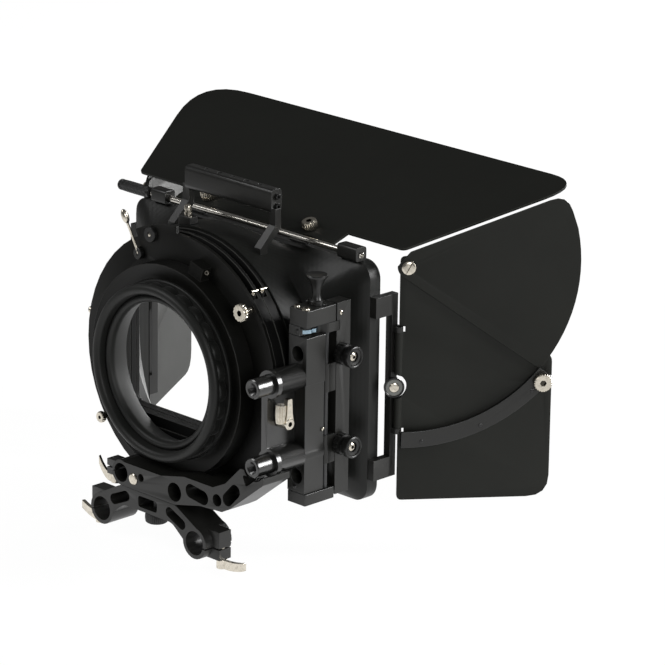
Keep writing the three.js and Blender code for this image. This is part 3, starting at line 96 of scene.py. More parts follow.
def add_node(tree: Tree, kind: str, inputs: Optional[dict] = None,
             **settings: object) -> bpy.types.Node:
    """Adds one node to a tree with its settings, its constants and its links.

    Args:
        tree: The shader or geometry tree.
        kind: The node's type name.
        inputs: A constant or the socket that feeds it, by the input's name or number.
        **settings: The node's own properties.

    Returns:
        The new node.
    """
    node = tree.nodes.new(kind)
    for name, value in settings.items():
        setattr(node, name, value)
    for key, value in (inputs or {}).items():
        if isinstance(value, Socket):
            tree.links.new(value, node.inputs[key])
        else:
            node.inputs[key].default_value = value
    return node


def maths(tree: Tree, operation: str, *inputs: Union[Socket, float]) -> Socket:
    """Adds a math node on sockets and numbers and gives its result."""
    return add_node(tree, "ShaderNodeMath", dict(enumerate(inputs)), operation=operation).outputs[0]


def empty_material(name: str) -> bpy.types.Material:
    """Makes a material whose tree has no nodes yet.

    Args:
        name: The material's name.

    Returns:
        The material.
    """
    material = bpy.data.materials.new(name)
    material.use_nodes = True
    material.node_tree.nodes.clear()
    return material


def facing(origin: Point, aim: Point) -> Matrix:
    """Gives the place of a turned piece.

    Args:
        origin: Where the piece's own origin goes.
        aim: The direction of the piece's own Z axis; its own Y axis keeps near the vertical.

    Returns:
        The matrix from the piece's own frame to the row's frame, both in millimetres.
    """
    z = Vector(aim).normalized()
    guide = Vector(UPWARD if abs(z.z) < 0.99 else FORWARD)
    x = guide.cross(z).normalized()
    turn = Matrix((x, z.cross(x), z)).transposed().to_4x4()
    return Matrix.Translation(Vector(origin)) @ turn


def optical(y: float = 0.0) -> Matrix:
    """Gives the place of a piece turned about the optical axis, with its own Z pointing forward."""
    return facing((0, y, AXIS_HEIGHT), FORWARD)


def circle(radius: float, height: float, sides: int) -> Ring:
    """Gives a ring of points about the Z axis at one height."""
    turns = [2 * math.pi * i / sides for i in range(sides)]
    return [(radius * math.cos(t), radius * math.sin(t), height) for t in turns]


def hexagon(radius: float, height: float, sides: int) -> Ring:
    """Gives a ring of points on a hexagon, as many as a circle that it is lofted to.

    Args:
        radius: Radius of its corners.
        height: Its height along Z.
        sides: Number of points.

    Returns:
        The points.
    """
    ring = []
    for i in range(sides):
        turn = 2 * math.pi * i / sides
        wedge = (turn % (math.pi / 3)) - math.pi / 6
        reach = radius * math.cos(math.pi / 6) / math.cos(wedge)
        ring.append((reach * math.cos(turn), reach * math.sin(turn), height))
    return ring


def arc(centre: Point, radius: float, start: float, end: float, steps: int) -> list[Point]:
    """Gives profile points on an arc, from one angle in degrees to another."""
    turns = [math.radians(start + (end - start) * i / steps) for i in range(steps + 1)]
    return [(centre[0] + radius * math.cos(t), centre[1] + radius * math.sin(t)) for t in turns]


def soften(mesh: Mesh, sharp: float) -> None:
    """Shades a mesh smooth, apart from its crisp edges.

    Args:
        mesh: The mesh.
        sharp: Edges that turn by more degrees than this stay crisp.
    """
    mesh.polygons.foreach_set("use_smooth", [True] * len(mesh.polygons))
    mesh.set_sharp_from_angle(angle=math.radians(sharp))
    mesh.update()


class Draft:
    """Corners and faces of one piece, gathered in millimetres of the row's frame."""

    # A slotted head: its slot's floor, and its dome as shares of radius and height.
    SLOT_FLOOR = 0.45
    DOME = ((1.0, 0.4), (1.0, 0.62), (0.86, 0.85), (0.6, 0.97), (0.3, 1.0))

    def __init__(self) -> None:
        """Starts an empty piece."""
        self.points: list[Vector] = []
        self.faces: list[tuple[int, ...]] = []
        # Per face, 1 where a socket's faces get a painted shade, else 0.
        self.hollow: list[float] = []

    def add(self, points: Iterable[Point], faces: Sequence[Sequence[int]], place: Matrix,
            dark: Sequence[Sequence[int]] = ()) -> "Draft":
        """Adds corners and faces.

        Args:
            points: Corners in the form's own frame.
            faces: Corner numbers of each face.
            place: The form's place.
            dark: The same for faces in a socket, which get a painted shade.

        Returns:
            This draft.
        """
        start = len(self.points)
        self.points.extend(place @ Vector(p) for p in points)
        for hollow, group in ((0.0, faces), (1.0, dark)):
            self.faces.extend(tuple(start + i for i in face) for face in group)
            self.hollow.extend([hollow] * len(group))
        return self

    def loft(self, rings: Sequence[Ring], place: Matrix, socket_shade_from: Optional[int] = None,
             closed: bool = False) -> "Draft":
        """Skins rings that have as many points each.

        Args:
            rings: The rings in order; each is closed by itself.
            place: The form's place.
            socket_shade_from: Number of the ring where a socket starts, if there is one; its faces get a
                painted shade.
            closed: Joins the last ring to the first, else both ends get a face.

        Returns:
            This draft.
        """
        sides, count = len(rings[0]), len(rings)
        plain: list[tuple[int, ...]] = []
        dark: list[tuple[int, ...]] = []
        for k in range(count if closed else count - 1):
            low, high = k * sides, ((k + 1) % count) * sides
            (plain if socket_shade_from is None or k < socket_shade_from else dark).extend(
                (low + i, low + (i + 1) % sides, high + (i + 1) % sides, high + i) for i in range(sides))
        if not closed:
            plain.append(tuple(reversed(range(sides))))
            end = tuple(range((count - 1) * sides, count * sides))
            (plain if socket_shade_from is None else dark).append(end)
        return self.add([p for ring in rings for p in ring], plain, place, dark)

    def lathe(self, profile: Profile, place: Matrix, sides: int = 48, closed: bool = False) -> "Draft":
        """Turns a profile.

        Args:
            profile: Radius and height of each point, from the axis and back to it.
            place: The form's place; the profile turns about its Z axis.
            sides: Faces around.
            closed: For a profile that runs round a ring's section and closes on itself.

        Returns:
            This draft.
        """
        return self.loft([circle(r, h, sides) for r, h in profile], place, closed=closed)

    def slotted(self, radius: float, low: float, high: float, half: float, place: Matrix,
                sides: int = 18) -> "Draft":
        """Adds a domed screw head with a straight slot across it.

        Args:
            radius: The head's radius.
            low: Height of its seat.
            high: Height of its crown.
            half: Half the slot's width.
            place: The head's place.
            sides: Faces around each half.

        Returns:
            This draft.
        """
        rise = high - low
        floor = low + rise * self.SLOT_FLOOR
        self.lathe([(0, low), (radius, low), (radius, floor), (0, floor)], place, 2 * sides)
        turns = [math.pi * (i / sides - 0.5) for i in range(sides + 1)]
        for sign in (-1, 1):
            self.loft([[(sign * max(half, share * radius * math.cos(t)), share * radius * math.sin(t),
                         low + rise * up) for t in turns] for share, up in self.DOME], place)
        return self

    def mesh(self, name: str, sharp: float = 30.0) -> Mesh:
        """Makes the mesh, in metres, with its doubles merged and its faces outward.

        Args:
            name: The mesh's name.
            sharp: Edges that turn by more degrees than this stay crisp.

        Returns:
            The mesh.
        """
        mesh = bpy.data.meshes.new(name)
        mesh.from_pydata([p * MM for p in self.points], [], self.faces)
        # Socket faces carry this mask, and the materials paint shade on them.
        mesh.attributes.new("hollow", "FLOAT", "FACE").data.foreach_set("value", self.hollow)
        work = bmesh.new()
        work.from_mesh(mesh)
        bmesh.ops.remove_doubles(work, verts=work.verts, dist=MERGE_M)
        bmesh.ops.recalc_face_normals(work, faces=work.faces)
        work.to_mesh(mesh)
        work.free()
        soften(mesh, sharp)
        return mesh


# ---------------------------------------------------------------- finishes


class Brush:
    """Adds a finish's nodes to its material, on the piece's own coordinates."""

    def __init__(self, tree: Tree, shader: bpy.types.Node) -> None:
        """Starts with a material's tree and its Principled shader."""
        self.tree = tree
        self.shader = shader
        self.place = add_node(tree, "ShaderNodeTexCoord").outputs["Object"]

    def noise(self, size_mm: float, detail: float, roughness: float = 0.5,
              distortion: float = 0.0) -> Socket:
        """Adds noise.

        Args:
            size_mm: Size of its features.
            detail: Layers of finer noise.
            roughness: How strong the finer layers are.
            distortion: How far it is bent out of shape.

        Returns:
            Its strength.
        """
        return add_node(self.tree, "ShaderNodeTexNoise", {
            "Vector": self.place, "Scale": 1 / (size_mm * MM), "Detail": detail,
            "Roughness": roughness, "Distortion": distortion}).outputs[0]

    def vector(self, operation: str, *inputs: object) -> bpy.types.Node:
        """Adds a vector math node on sockets and vectors."""
        return add_node(self.tree, "ShaderNodeVectorMath", dict(enumerate(inputs)), operation=operation)

    def span(self, share: Socket, limits: dict[int, float]) -> Socket:
        """Maps a share: limits 1 and 2 are where it comes from, 3 and 4 where it goes."""
        return add_node(self.tree, "ShaderNodeMapRange", {0: share, **limits}).outputs[0]

    def attribute(self, name: str) -> Socket:
        """Reads a face attribute of the piece."""
        return add_node(self.tree, "ShaderNodeAttribute", attribute_name=name).outputs["Fac"]

    def mix(self, share: Socket, *colours: Union[Socket, str]) -> Socket:
        """Goes from one colour to another by a share; each is a socket or hex digits."""
        low, high = (linear(c) if isinstance(c, str) else c for c in colours)
        return add_node(self.tree, "ShaderNodeMix", {0: share, 6: low, 7: high},
                        data_type="RGBA").outputs[2]

    def bump(self, height: Socket, relief: Pair, under: Optional[Socket] = None) -> Socket:
        """Adds a bump.

        Args:
            height: The pattern that stands out.
            relief: Its height in millimetres and its strength.
            under: A bump that it is added to.

        Returns:
            The bumped normal.
        """
        inputs = {"Strength": relief[1], "Distance": relief[0] * MM, "Height": height}
        if under:
            inputs["Normal"] = under
        return add_node(self.tree, "ShaderNodeBump", inputs).outputs[0]

    def feed(self, name: str, socket: Socket) -> None:
        """Feeds an input of the shader."""
        self.tree.links.new(socket, self.shader.inputs[name])


class Slot(Enum):
    """The record's material slots."""

    ANODISED = "anodised"
    PLATE = "plate"
    MOULDED = "moulded"
    RUBBER = "rubber"
    STEEL = "steel"


@dataclass(frozen=True)
class Finish:
    """A surface: what it is made of, and the colours, gloss and skin that its making gives it.

    The cloud is the slow change from the colour to the tone, and the grain is the skin's own. The
    spread is how far the roughness goes under and over its value. A relief is the height in
    millimetres and the strength of a bump. Socket shade is a painted shade: a darker colour for faces in
    sockets.
    """

    name: str
    colour: str
    roughness: float
    slot: Slot = Slot.STEEL
    metallic: float = 0.0
    specular: float = 0.5
    sheen: float = 0.0
    sheen_roughness: float = 0.5
    tone: str = "#21211f"
    edge: str = ""
    edge_share: float = 1.0
    # Painted shade: the colour of faces in sockets, where shade would fall.
    socket_shade: str = ""
    cloud_mm: float = 26.0
    cloud_detail: float = 3.0
    cloud_roughness: float = 0.5
    cloud_distortion: float = 0.0
    spread: Optional[Pair] = None
    grain_mm: float = 0.7
    grain_detail: float = 2.0
    relief: Pair = (0.02, 0.5)

    def material(self) -> bpy.types.Material:
        """Returns the finish's material, made at the first call."""
        known = bpy.data.materials.get(self.name)
        if known:
            return known
        material = empty_material(self.name)
        shader = add_node(material.node_tree, "ShaderNodeBsdfPrincipled", {
            "Base Color": linear(self.colour), "Roughness": self.roughness,
            "Metallic": self.metallic, "Specular IOR Level": self.specular,
            "Sheen Weight": self.sheen, "Sheen Roughness": self.sheen_roughness})
        add_node(material.node_tree, "ShaderNodeOutputMaterial", {"Surface": shader.outputs[0]})
        self.pattern(Brush(material.node_tree, shader))
        return material

    def pattern(self, brush: Brush) -> None:
        """Adds the clouds, the rubbed edges, the painted shade in sockets, the gloss and the skin.

        Args:
            brush: The brush on the material.
        """
        cloud = brush.noise(self.cloud_mm, self.cloud_detail, self.cloud_roughness,
                            self.cloud_distortion)
        colour = brush.mix(self.share(brush, cloud), self.colour, self.tone)
        if self.edge:
            rub = maths(brush.tree, "MULTIPLY", brush.attribute("edge"), self.edge_share)
            colour = brush.mix(rub, colour, self.edge)
        # Painted shade: faces in sockets take the socket shade colour.
        if self.socket_shade:
            colour = brush.mix(brush.attribute("hollow"), colour, self.socket_shade)
        brush.feed("Base Color", colour)
        if self.spread:
            low, high = (self.roughness + more for more in self.spread)
            brush.feed("Roughness", brush.span(cloud, {3: low, 4: high}))
        brush.feed("Normal", self.skin(brush, cloud))

    def share(self, brush: Brush, cloud: Socket) -> Socket:
        """Gives the tone's share in the colour: the cloud as it is."""
        return cloud

    def skin(self, brush: Brush, cloud: Socket) -> Socket:
        """Gives the normal of the skin: its grain."""
        return brush.bump(brush.noise(self.grain_mm, self.grain_detail), self.relief)


@dataclass(frozen=True)
class BlackAnodise(Finish):
    """Aluminium, milled, glass-bead blasted and dyed black: a dull, even satin with paler edges.

    A bead leaves a dimple of 0.1 mm. The grain is drawn coarser, or it vanishes at this distance.
    """

    slot: Slot = Slot.ANODISED
    edge: str = "#3c3d3e"
    edge_share: float = 0.8
    # Painted shade: near black for faces in sockets.
    socket_shade: str = "#050505"
    spread: Pair = (-0.05, 0.06)
    ring_pitch_mm: float = 0.0
    ring_relief: Pair = (0.012, 0.3)

    def skin(self, brush: Brush, cloud: Socket) -> Socket:
        """Gives the blasted skin, with the fine lines of the lathe if the piece is turned.

        Args:
            brush: The brush on the material.
            cloud: The finish's cloud.

        Returns:
            The bumped normal.
        """
        blasted = super().skin(brush, cloud)
        if not self.ring_pitch_mm:
            return blasted
        centred = brush.vector("SUBTRACT", brush.place, (0, 0, AXIS_HEIGHT * MM)).outputs[0]
        flat = brush.vector("MULTIPLY", centred, (1, 0, 1)).outputs[0]
        turns = maths(brush.tree, "MULTIPLY", brush.vector("LENGTH", flat).outputs["Value"],
                      2 * math.pi / (self.ring_pitch_mm * MM))
        return brush.bump(maths(brush.tree, "SINE", turns), self.ring_relief, blasted)


@dataclass(frozen=True)
class SheetLacquer(Finish):
    """Flat sheet with a matt black lacquer: an even soft grey with faint hand marks and a fine grain.

    The lacquer's own grain is near 0.1 mm. It is drawn coarser to show as a faint tooth.
    """

    slot: Slot = Slot.PLATE
    tone: str = "#20211d"
    edge: str = "#3a3b37"
    cloud_mm: float = 70.0
    cloud_detail: float = 4.0
    cloud_roughness: float = 0.6
    spread: Pair = (0.08, -0.08)
    grain_mm: float = 0.9
    relief: Pair = (0.02, 0.35)


@dataclass(frozen=True)
class MouldedNylon(Finish):
    """Glass-filled nylon from a spark-eroded mould: a fine pebbled skin with a low, wide sheen.

    Real pebbles are near 0.3 mm, drawn coarser so that they show. The cloth under the skin prints
    through as a weave of tows, drawn at its real size.
    """

    slot: Slot = Slot.MOULDED
    tone: str = "#181916"
    cloud_mm: float = 45.0
    grain_mm: float = 1.1
    relief: Pair = (0.05, 0.35)
    tow_mm: float = 5.0
    tow_relief: Pair = (0.05, 0.5)

    def skin(self, brush: Brush, cloud: Socket) -> Socket:
        """Gives the skin of pebbles over cloth.

        Args:
            brush: The brush on the material.
            cloud: The finish's cloud; not used.

        Returns:
            The bumped normal.
        """
        pebble = add_node(brush.tree, "ShaderNodeTexVoronoi", {
            "Vector": brush.place, "Scale": 1 / (self.grain_mm * MM)}, feature="SMOOTH_F1")
        pebbled = brush.bump(pebble.outputs["Distance"], self.relief)
        spread = brush.vector("MULTIPLY", brush.place, (2 * math.pi / (self.tow_mm * MM),) * 3)
        parts = add_node(brush.tree, "ShaderNodeSeparateXYZ", {0: spread.outputs[0]}).outputs
        weave = maths(brush.tree, "MULTIPLY", *(maths(brush.tree, "SINE", parts[i]) for i in (0, 1)))
        return brush.bump(weave, self.tow_relief, pebbled)


@dataclass(frozen=True)
class MouldedRubber(Finish):
    """Moulded rubber: a soft grey bloom on black, with dust held on its skin."""

    slot: Slot = Slot.RUBBER
    tone: str = "#1b1c1a"
    cloud_mm: float = 18.0
    cloud_detail: float = 5.0
    spread: Pair = (-0.06, 0.08)
    grain_mm: float = 0.8
    grain_detail: float = 3.0
    relief: Pair = (0.03, 0.3)


@dataclass(frozen=True)
class BrightMetal(Finish):
    """Plated or polished steel: clear reflections broken by fine wiping marks, with painted shade in
    sockets.
    """

    metallic: float = 1.0
    tone: str = "#9a948a"
    # Painted shade for faces in sockets: a darker grey of the metal.
    socket_shade: str = "#4b4842"
    cloud_mm: float = 2.5
    cloud_detail: float = 4.0
    cloud_distortion: float = 0.6
    spread: Pair = (-0.04, 0.08)
    relief: Pair = (0.01, 0.15)
    tarnish_from: float = 0.45
    tarnish_to: float = 0.8
    tarnish_share: float = 0.6

    def share(self, brush: Brush, cloud: Socket) -> Socket:
        """Gives the tarnish, which shows in the thick of the wiping marks only."""
        return brush.span(cloud, {1: self.tarnish_from, 2: self.tarnish_to, 4: self.tarnish_share})

    def skin(self, brush: Brush, cloud: Socket) -> Socket:
        """Gives the normal of the wiping marks."""
        return brush.bump(cloud, self.relief)


ANODISE = BlackAnodise("blasted_black_anodise", "#161614", 0.36)
TURNED = BlackAnodise("turned_black_anodise", "#0a0a09", 0.42, specular=0.22, tone="#12120f",
                      edge="#2c2c2a", ring_pitch_mm=1.1)
KNOB = BlackAnodise("knurled_black_anodise", "#0f100f", 0.34, tone="#1b1b1a")
POST = BlackAnodise("polished_black_anodise", "#161615", 0.24, specular=0.9, tone="#20201f")
STAGE = BlackAnodise("matt_black_anodise", "#060606", 0.5, specular=0.25, tone="#0b0b0a", edge="#4a4a47")
OXIDE = BlackAnodise("black_oxide_screw", "#0e0e0e", 0.3, Slot.STEEL, specular=0.55, tone="#1a1a1a")
SHEET = SheetLacquer("matt_sheet_lacquer", "#191a17", 0.58, specular=0.24)
NYLON = MouldedNylon("moulded_glass_nylon", "#101110", 0.44, specular=0.35)
RUBBER = MouldedRubber("moulded_lens_rubber", "#121311", 0.48, specular=0.34, sheen=0.05)
NICKEL = BrightMetal("bright_nickel", "#dad3c5", 0.22)
STEEL = BrightMetal("ground_steel", "#e2ded6", 0.16, tone="#a8a49c")
SPRING = BrightMetal("blued_spring_steel", "#a9c2d2", 0.2, tone="#5d707d")
FIBRE = SheetLacquer("grey_friction_fibre", "#6e6f6c", 0.6, Slot.STEEL, tone="#7f807c", edge="#8c8d89",
                     cloud_mm=6.0, grain_mm=0.6)


# ---------------------------------------------------------------- placing pieces on the frame


class Side(Enum):
    """Which side of the box a piece is on, as the operator sees it."""

    LEFT = "left"
    RIGHT = "right"

    @property
    def sign(self) -> int:
        """Returns -1 for the left and 1 for the right."""
        return -1 if self is Side.LEFT else 1


def show(mesh: Mesh, name: str) -> bpy.types.Object:
    """Makes an object of a mesh and puts it in the scene."""
    piece = bpy.data.objects.new(name, mesh)
    bpy.context.scene.collection.objects.link(piece)
    return piece


def fit(mesh: Mesh, finish: Finish, body: str, *stands_for: str) -> None:
    """Shows a mesh as a finished piece of the same name and hangs it on its body.

    Args:
        mesh: The piece's mesh, with its place in it.
        finish: Its surface.
        body: The body that it moves with.
        *stands_for: Nodes that it is shown instead of.
    """
    piece = show(mesh, mesh.name)
    mesh.materials.clear()
    mesh.materials.append(finish.material())
    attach(piece, body)
    if stands_for:
        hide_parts(*stands_for)
    LOG.info("%s: %d faces on %s", piece.name, len(mesh.polygons), body)


def turned(name: str, profile: Profile, place: Matrix, finish: Finish, body: str, *stands_for: str,
           sides: int = 48, sharp: float = 30.0) -> None:
    """Shows a piece that is turned from one profile.

    Args:
        name: The piece's name.
        profile: Radius and height of each point, from the axis and back to it.
        place: The piece's place; the profile turns about its Z axis.
        finish: Its surface.
        body: The body that it moves with.
        *stands_for: Nodes that it is shown instead of.
        sides: Faces around.
        sharp: Edges that turn by more degrees than this stay crisp.
    """
    fit(Draft().lathe(profile, place, sides).mesh(name, sharp), finish, body, *stands_for)


def machined(finish: Finish, bevel: float, *nodes: str) -> None:
    """Shows nodes as copies with their outer corners broken, as deburred parts have them.

    Args:
        finish: Their surface.
        bevel: Width of the broken corners.
        *nodes: The nodes.
    """
    flat, corner, sharp = math.radians(0.6), math.radians(28), 25.0
    for node in nodes:
        mesh = frame["nodes"][node].data.copy()
        mesh.name = node + "_dressed"
        work = bmesh.new()
        work.from_mesh(mesh)
        bmesh.ops.remove_doubles(work, verts=work.verts, dist=2 * MERGE_M)
        bmesh.ops.dissolve_limit(work, angle_limit=flat, verts=work.verts, edges=work.edges,
                                 delimit={"NORMAL"})
        rim = work.faces.layers.float.new("edge")
        corners = [e for e in work.edges if len(e.link_faces) == 2 and e.calc_face_angle(0.0) > corner]
        made = bmesh.ops.bevel(work, geom=corners, offset=bevel * MM, offset_type="OFFSET", segments=2,
                               profile=0.5, affect="EDGES", clamp_overlap=True)
        for face in made["faces"]:
            face[rim] = 1.0
        work.to_mesh(mesh)
        work.free()
        soften(mesh, sharp)
        fit(mesh, finish, BODY_OF[node], node)


# ---------------------------------------------------------------- trees for what repeats


class RepeatTree:
    """A Geometry Nodes tree with named inputs, which ends in real faces with one material."""

    def __init__(self, name: str, sizes: dict[str, str]) -> None:
        """Starts the tree.

        Args:
            name: The tree's name.
            sizes: Socket type of each named input.
        """
        self.tree = bpy.data.node_groups.new(name, "GeometryNodeTree")
        kinds = {"Geometry": "NodeSocketGeometry", **sizes, "Finish": "NodeSocketMaterial"}
        for label, kind in kinds.items():
            self.tree.interface.new_socket(label, in_out="INPUT", socket_type=kind)
        self.tree.interface.new_socket("Geometry", in_out="OUTPUT", socket_type=kinds["Geometry"])
        self.inputs = add_node(self.tree, "NodeGroupInput").outputs

    def calc(self, operation: str, *inputs: Union[Socket, float]) -> Socket:
        """Adds a math node and gives its result."""
        return maths(self.tree, operation, *inputs)

    def end(self, shape: Socket) -> None:
        """Ends the tree: what repeats becomes plain faces and takes its material.

        Args:
            shape: The socket that holds the repeated shape.
        """
        real = add_node(self.tree, "GeometryNodeRealizeInstances", {0: shape})
        paint = add_node(self.tree, "GeometryNodeSetMaterial",
                         {"Geometry": real.outputs[0], "Material": self.inputs["Finish"]})
        add_node(self.tree, "NodeGroupOutput", {0: paint.outputs[0]})

    def grow(self, name: str, values: dict[str, object], finish: Finish,
             seed: Optional[Mesh] = None) -> Mesh:
        """Runs the tree once and keeps its result as a plain mesh.

        Args:
            name: The mesh's name.
            values: Value of each named input.
            finish: The material.
            seed: The mesh that the tree starts from, if it needs one.

        Returns:
            The mesh.
        """
        host = show(seed or bpy.data.meshes.new(name + "_seed"), name + "_host")
        modifier = host.modifiers.new("Repeat", "NODES")
        modifier.node_group = self.tree
        given = dict(values, Finish=finish.material())
        for item in self.tree.interface.items_tree:
            if item.item_type == "SOCKET" and item.in_out == "INPUT" and item.name in given:
                modifier[item.identifier] = given[item.name]
        graph = bpy.context.evaluated_depsgraph_get()
        mesh = bpy.data.meshes.new_from_object(host.evaluated_get(graph))
        host.modifiers.remove(modifier)
        bpy.data.objects.remove(host)
        mesh.name = name
        return mesh


class RibbedBandTree(RepeatTree):
    """A round band with ribs, lobes or crossed knurling around it, about its own Z axis."""

    BROW_POWER = 5.0  # how late the ends round in
    WALL = 0.8
    SHARP = 32.0

    def __init__(self) -> None:
        """Builds the tree."""
        lengths = ("Radius", "Length", "Depth", "Slant", "Crest", "Round")
        super().__init__("ribbed_band", {
            **dict.fromkeys(lengths, "NodeSocketFloat"),
            **dict.fromkeys(("Ribs", "Steps", "Rows"), "NodeSocketInt")})
        given, calc = self.inputs, self.calc
        columns = calc("ADD", calc("MULTIPLY", given["Ribs"], given["Steps"]), 1.0)
        grid = add_node(self.tree, "GeometryNodeMeshGrid", {
            "Size X": 1.0, "Size Y": 1.0, "Vertices X": columns, "Vertices Y": given["Rows"]})
        spot = add_node(self.tree, "GeometryNodeInputPosition")
        around, along, _ = add_node(self.tree, "ShaderNodeSeparateXYZ", {0: spot.outputs[0]}).outputs
        phase = calc("MULTIPLY", calc("MULTIPLY", given["Ribs"], math.pi), around)
        lean = calc("MULTIPLY", given["Slant"], along)
        waves = [calc("POWER", calc("ABSOLUTE", calc("COSINE", calc(cross, phase, lean))),
                      given["Crest"]) for cross in ("ADD", "SUBTRACT")]
        dip = calc("MULTIPLY", calc("SUBTRACT", 1.0, calc("MINIMUM", *waves)), given["Depth"])
        ends = calc("POWER", calc("ABSOLUTE", calc("MULTIPLY", along, 2.0)), self.BROW_POWER)
        loss = calc("ADD", dip, calc("MULTIPLY", ends, given["Round"]))
        reach = calc("SUBTRACT", given["Radius"], loss)
        turn = calc("MULTIPLY", around, 2 * math.pi)
        x, y = (calc("MULTIPLY", calc(trig, turn), reach) for trig in ("COSINE", "SINE"))
        spun = add_node(self.tree, "ShaderNodeCombineXYZ",
                        {0: x, 1: y, 2: calc("MULTIPLY", along, given["Length"])})
        bent = add_node(self.tree, "GeometryNodeSetPosition", {
            "Geometry": grid.outputs[0], "Position": spun.outputs[0]})
        seam = add_node(self.tree, "GeometryNodeMergeByDistance", {
            "Geometry": bent.outputs[0], "Distance": MERGE_M})
        self.end(seam.outputs[0])

    def fit_band(self, name: str, place: Matrix, finish: Finish, body: str, radius: float, length: float,
                 depth: float, ribs: int, steps: int = 6, rows: int = 4, slant: float = 0.0,
                 crest: float = 1.0, brow: float = 0.4, bore: float = 0.0) -> None:
        """Shows a band about the place's Z axis, centred on its origin, with end faces and a bore.

        Args:
            name: The piece's name.
            place: The band's place.
            finish: Its surface.
            body: The body that it moves with.
            radius: Radius over the ribs.
            length: Length along the axis.
            depth: Depth of the grooves.
            ribs: Ribs around.
            steps: Faces for each rib.
            rows: Rows of points along the axis.
            slant: How far crossed grooves run around, as an angle of the rib's wave.
            crest: Below 1 for round lobes with narrow grooves, above 1 for narrow ribs.
            brow: How far the ends are rounded in.
            bore: Radius inside, or 0 for just under the grooves.
        """
        mesh = self.grow(name, {
            "Radius": radius * MM, "Length": length * MM, "Depth": depth * MM, "Ribs": ribs,
            "Steps": steps, "Rows": rows, "Slant": slant, "Crest": crest, "Round": brow * MM}, finish)
        work = bmesh.new()
        work.from_mesh(mesh)
        inner = (bore or radius - depth - brow - self.WALL) * MM
        ends = bmesh.ops.extrude_edge_only(work, edges=[e for e in work.edges if e.is_boundary])
        for corner in (g for g in ends["geom"] if isinstance(g, bmesh.types.BMVert)):
            corner.co.xy = corner.co.xy.normalized() * inner
        bmesh.ops.bridge_loops(work, edges=[e for e in work.edges if e.is_boundary])
        bmesh.ops.recalc_face_normals(work, faces=work.faces)
        work.to_mesh(mesh)
        work.free()
        mesh.transform(Matrix.Scale(MM, 4) @ place @ Matrix.Scale(1 / MM, 4))
        soften(mesh, self.SHARP)
        fit(mesh, finish, body)


class HeadStyle(Enum):
    """The small fasteners' heads at 1 mm radius: their round rings, then the rings of a hex socket."""

    SOCKET = (((0.98, -0.3), (1, 0.05), (1, 0.82), (0.9, 0.95)), ((0.52, 0.95), (0.5, 0.35)))
    BUTTON = (((0.98, -0.3), (1, 0.06), (0.9, 0.34), (0.66, 0.5)), ((0.42, 0.52), (0.4, 0.1)))
    RIVET = (((0.98, -0.2), (1, 0.04), (0.86, 0.22), (0.5, 0.34), (0.14, 0.38)), ())


class FastenerTree(RepeatTree):
    """Sets a fastener's head on each point, turned to the point's aim and scaled to its size."""

    HEAD_SIDES = 24
    SHARP = 30.0

    def __init__(self) -> None:
        """Builds the tree and the heads."""
        super().__init__("fastener_set", {"Head": "NodeSocketObject"})
        tree = self.tree
        head = add_node(tree, "GeometryNodeObjectInfo", {"Object": self.inputs["Head"]})
        aim = add_node(tree, "GeometryNodeInputNamedAttribute", {"Name": "aim"}, data_type="FLOAT_VECTOR")
        size = add_node(tree, "GeometryNodeInputNamedAttribute", {"Name": "size"}, data_type="FLOAT")
        turn = add_node(tree, "FunctionNodeAlignRotationToVector", {"Vector": aim.outputs[0]}, axis="Z")
        heads = add_node(tree, "GeometryNodeInstanceOnPoints", {
            "Points": self.inputs["Geometry"], "Instance": head.outputs["Geometry"],
            "Rotation": turn.outputs[0], "Scale": size.outputs[0]})
        self.end(heads.outputs[0])
        self.heads = {style: self.head(style) for style in HeadStyle}

    def head(self, style: HeadStyle) -> bpy.types.Object:
        """Makes a head that sits on its own origin and faces +Z.

        Args:
            style: Which head.

        Returns:
            The head, kept out of the scene.
        """
        rounds, socket = style.value
        rings = [circle(r, h, self.HEAD_SIDES) for r, h in rounds]
        rings += [hexagon(r, h, self.HEAD_SIDES) for r, h in socket]
        name = style.name.lower() + "_head"
        # The hex socket's faces get a painted shade.
        draft = Draft().loft(rings, Matrix(), len(rounds) if socket else None)
        return bpy.data.objects.new(name, draft.mesh(name))

    def set_on(self, name: str, style: HeadStyle, finish: Finish, body: str, aim: Point,
               *spots: tuple[Point, float]) -> None:
        """Sets heads on spots and hangs them on a body.

        Args:
            name: The piece's name.
            style: Which head.
            finish: Its surface.
            body: The body that carries them.
            aim: Where they face.
            *spots: For each head where it sits and its radius.
        """
        seed = bpy.data.meshes.new(name + "_spots")
        seed.from_pydata([Vector(where) * MM for where, _ in spots], [], [])
        seed.attributes.new("aim", "FLOAT_VECTOR", "POINT")
        seed.attributes.new("size", "FLOAT", "POINT")
        for i, (_, radius) in enumerate(spots):
            seed.attributes["aim"].data[i].vector = Vector(aim).normalized()
            seed.attributes["size"].data[i].value = radius
        mesh = self.grow(name, {"Head": self.heads[style]}, finish, seed)
        soften(mesh, self.SHARP)
        fit(mesh, finish, body)


BANDS = RibbedBandTree()
FASTENERS = FastenerTree()


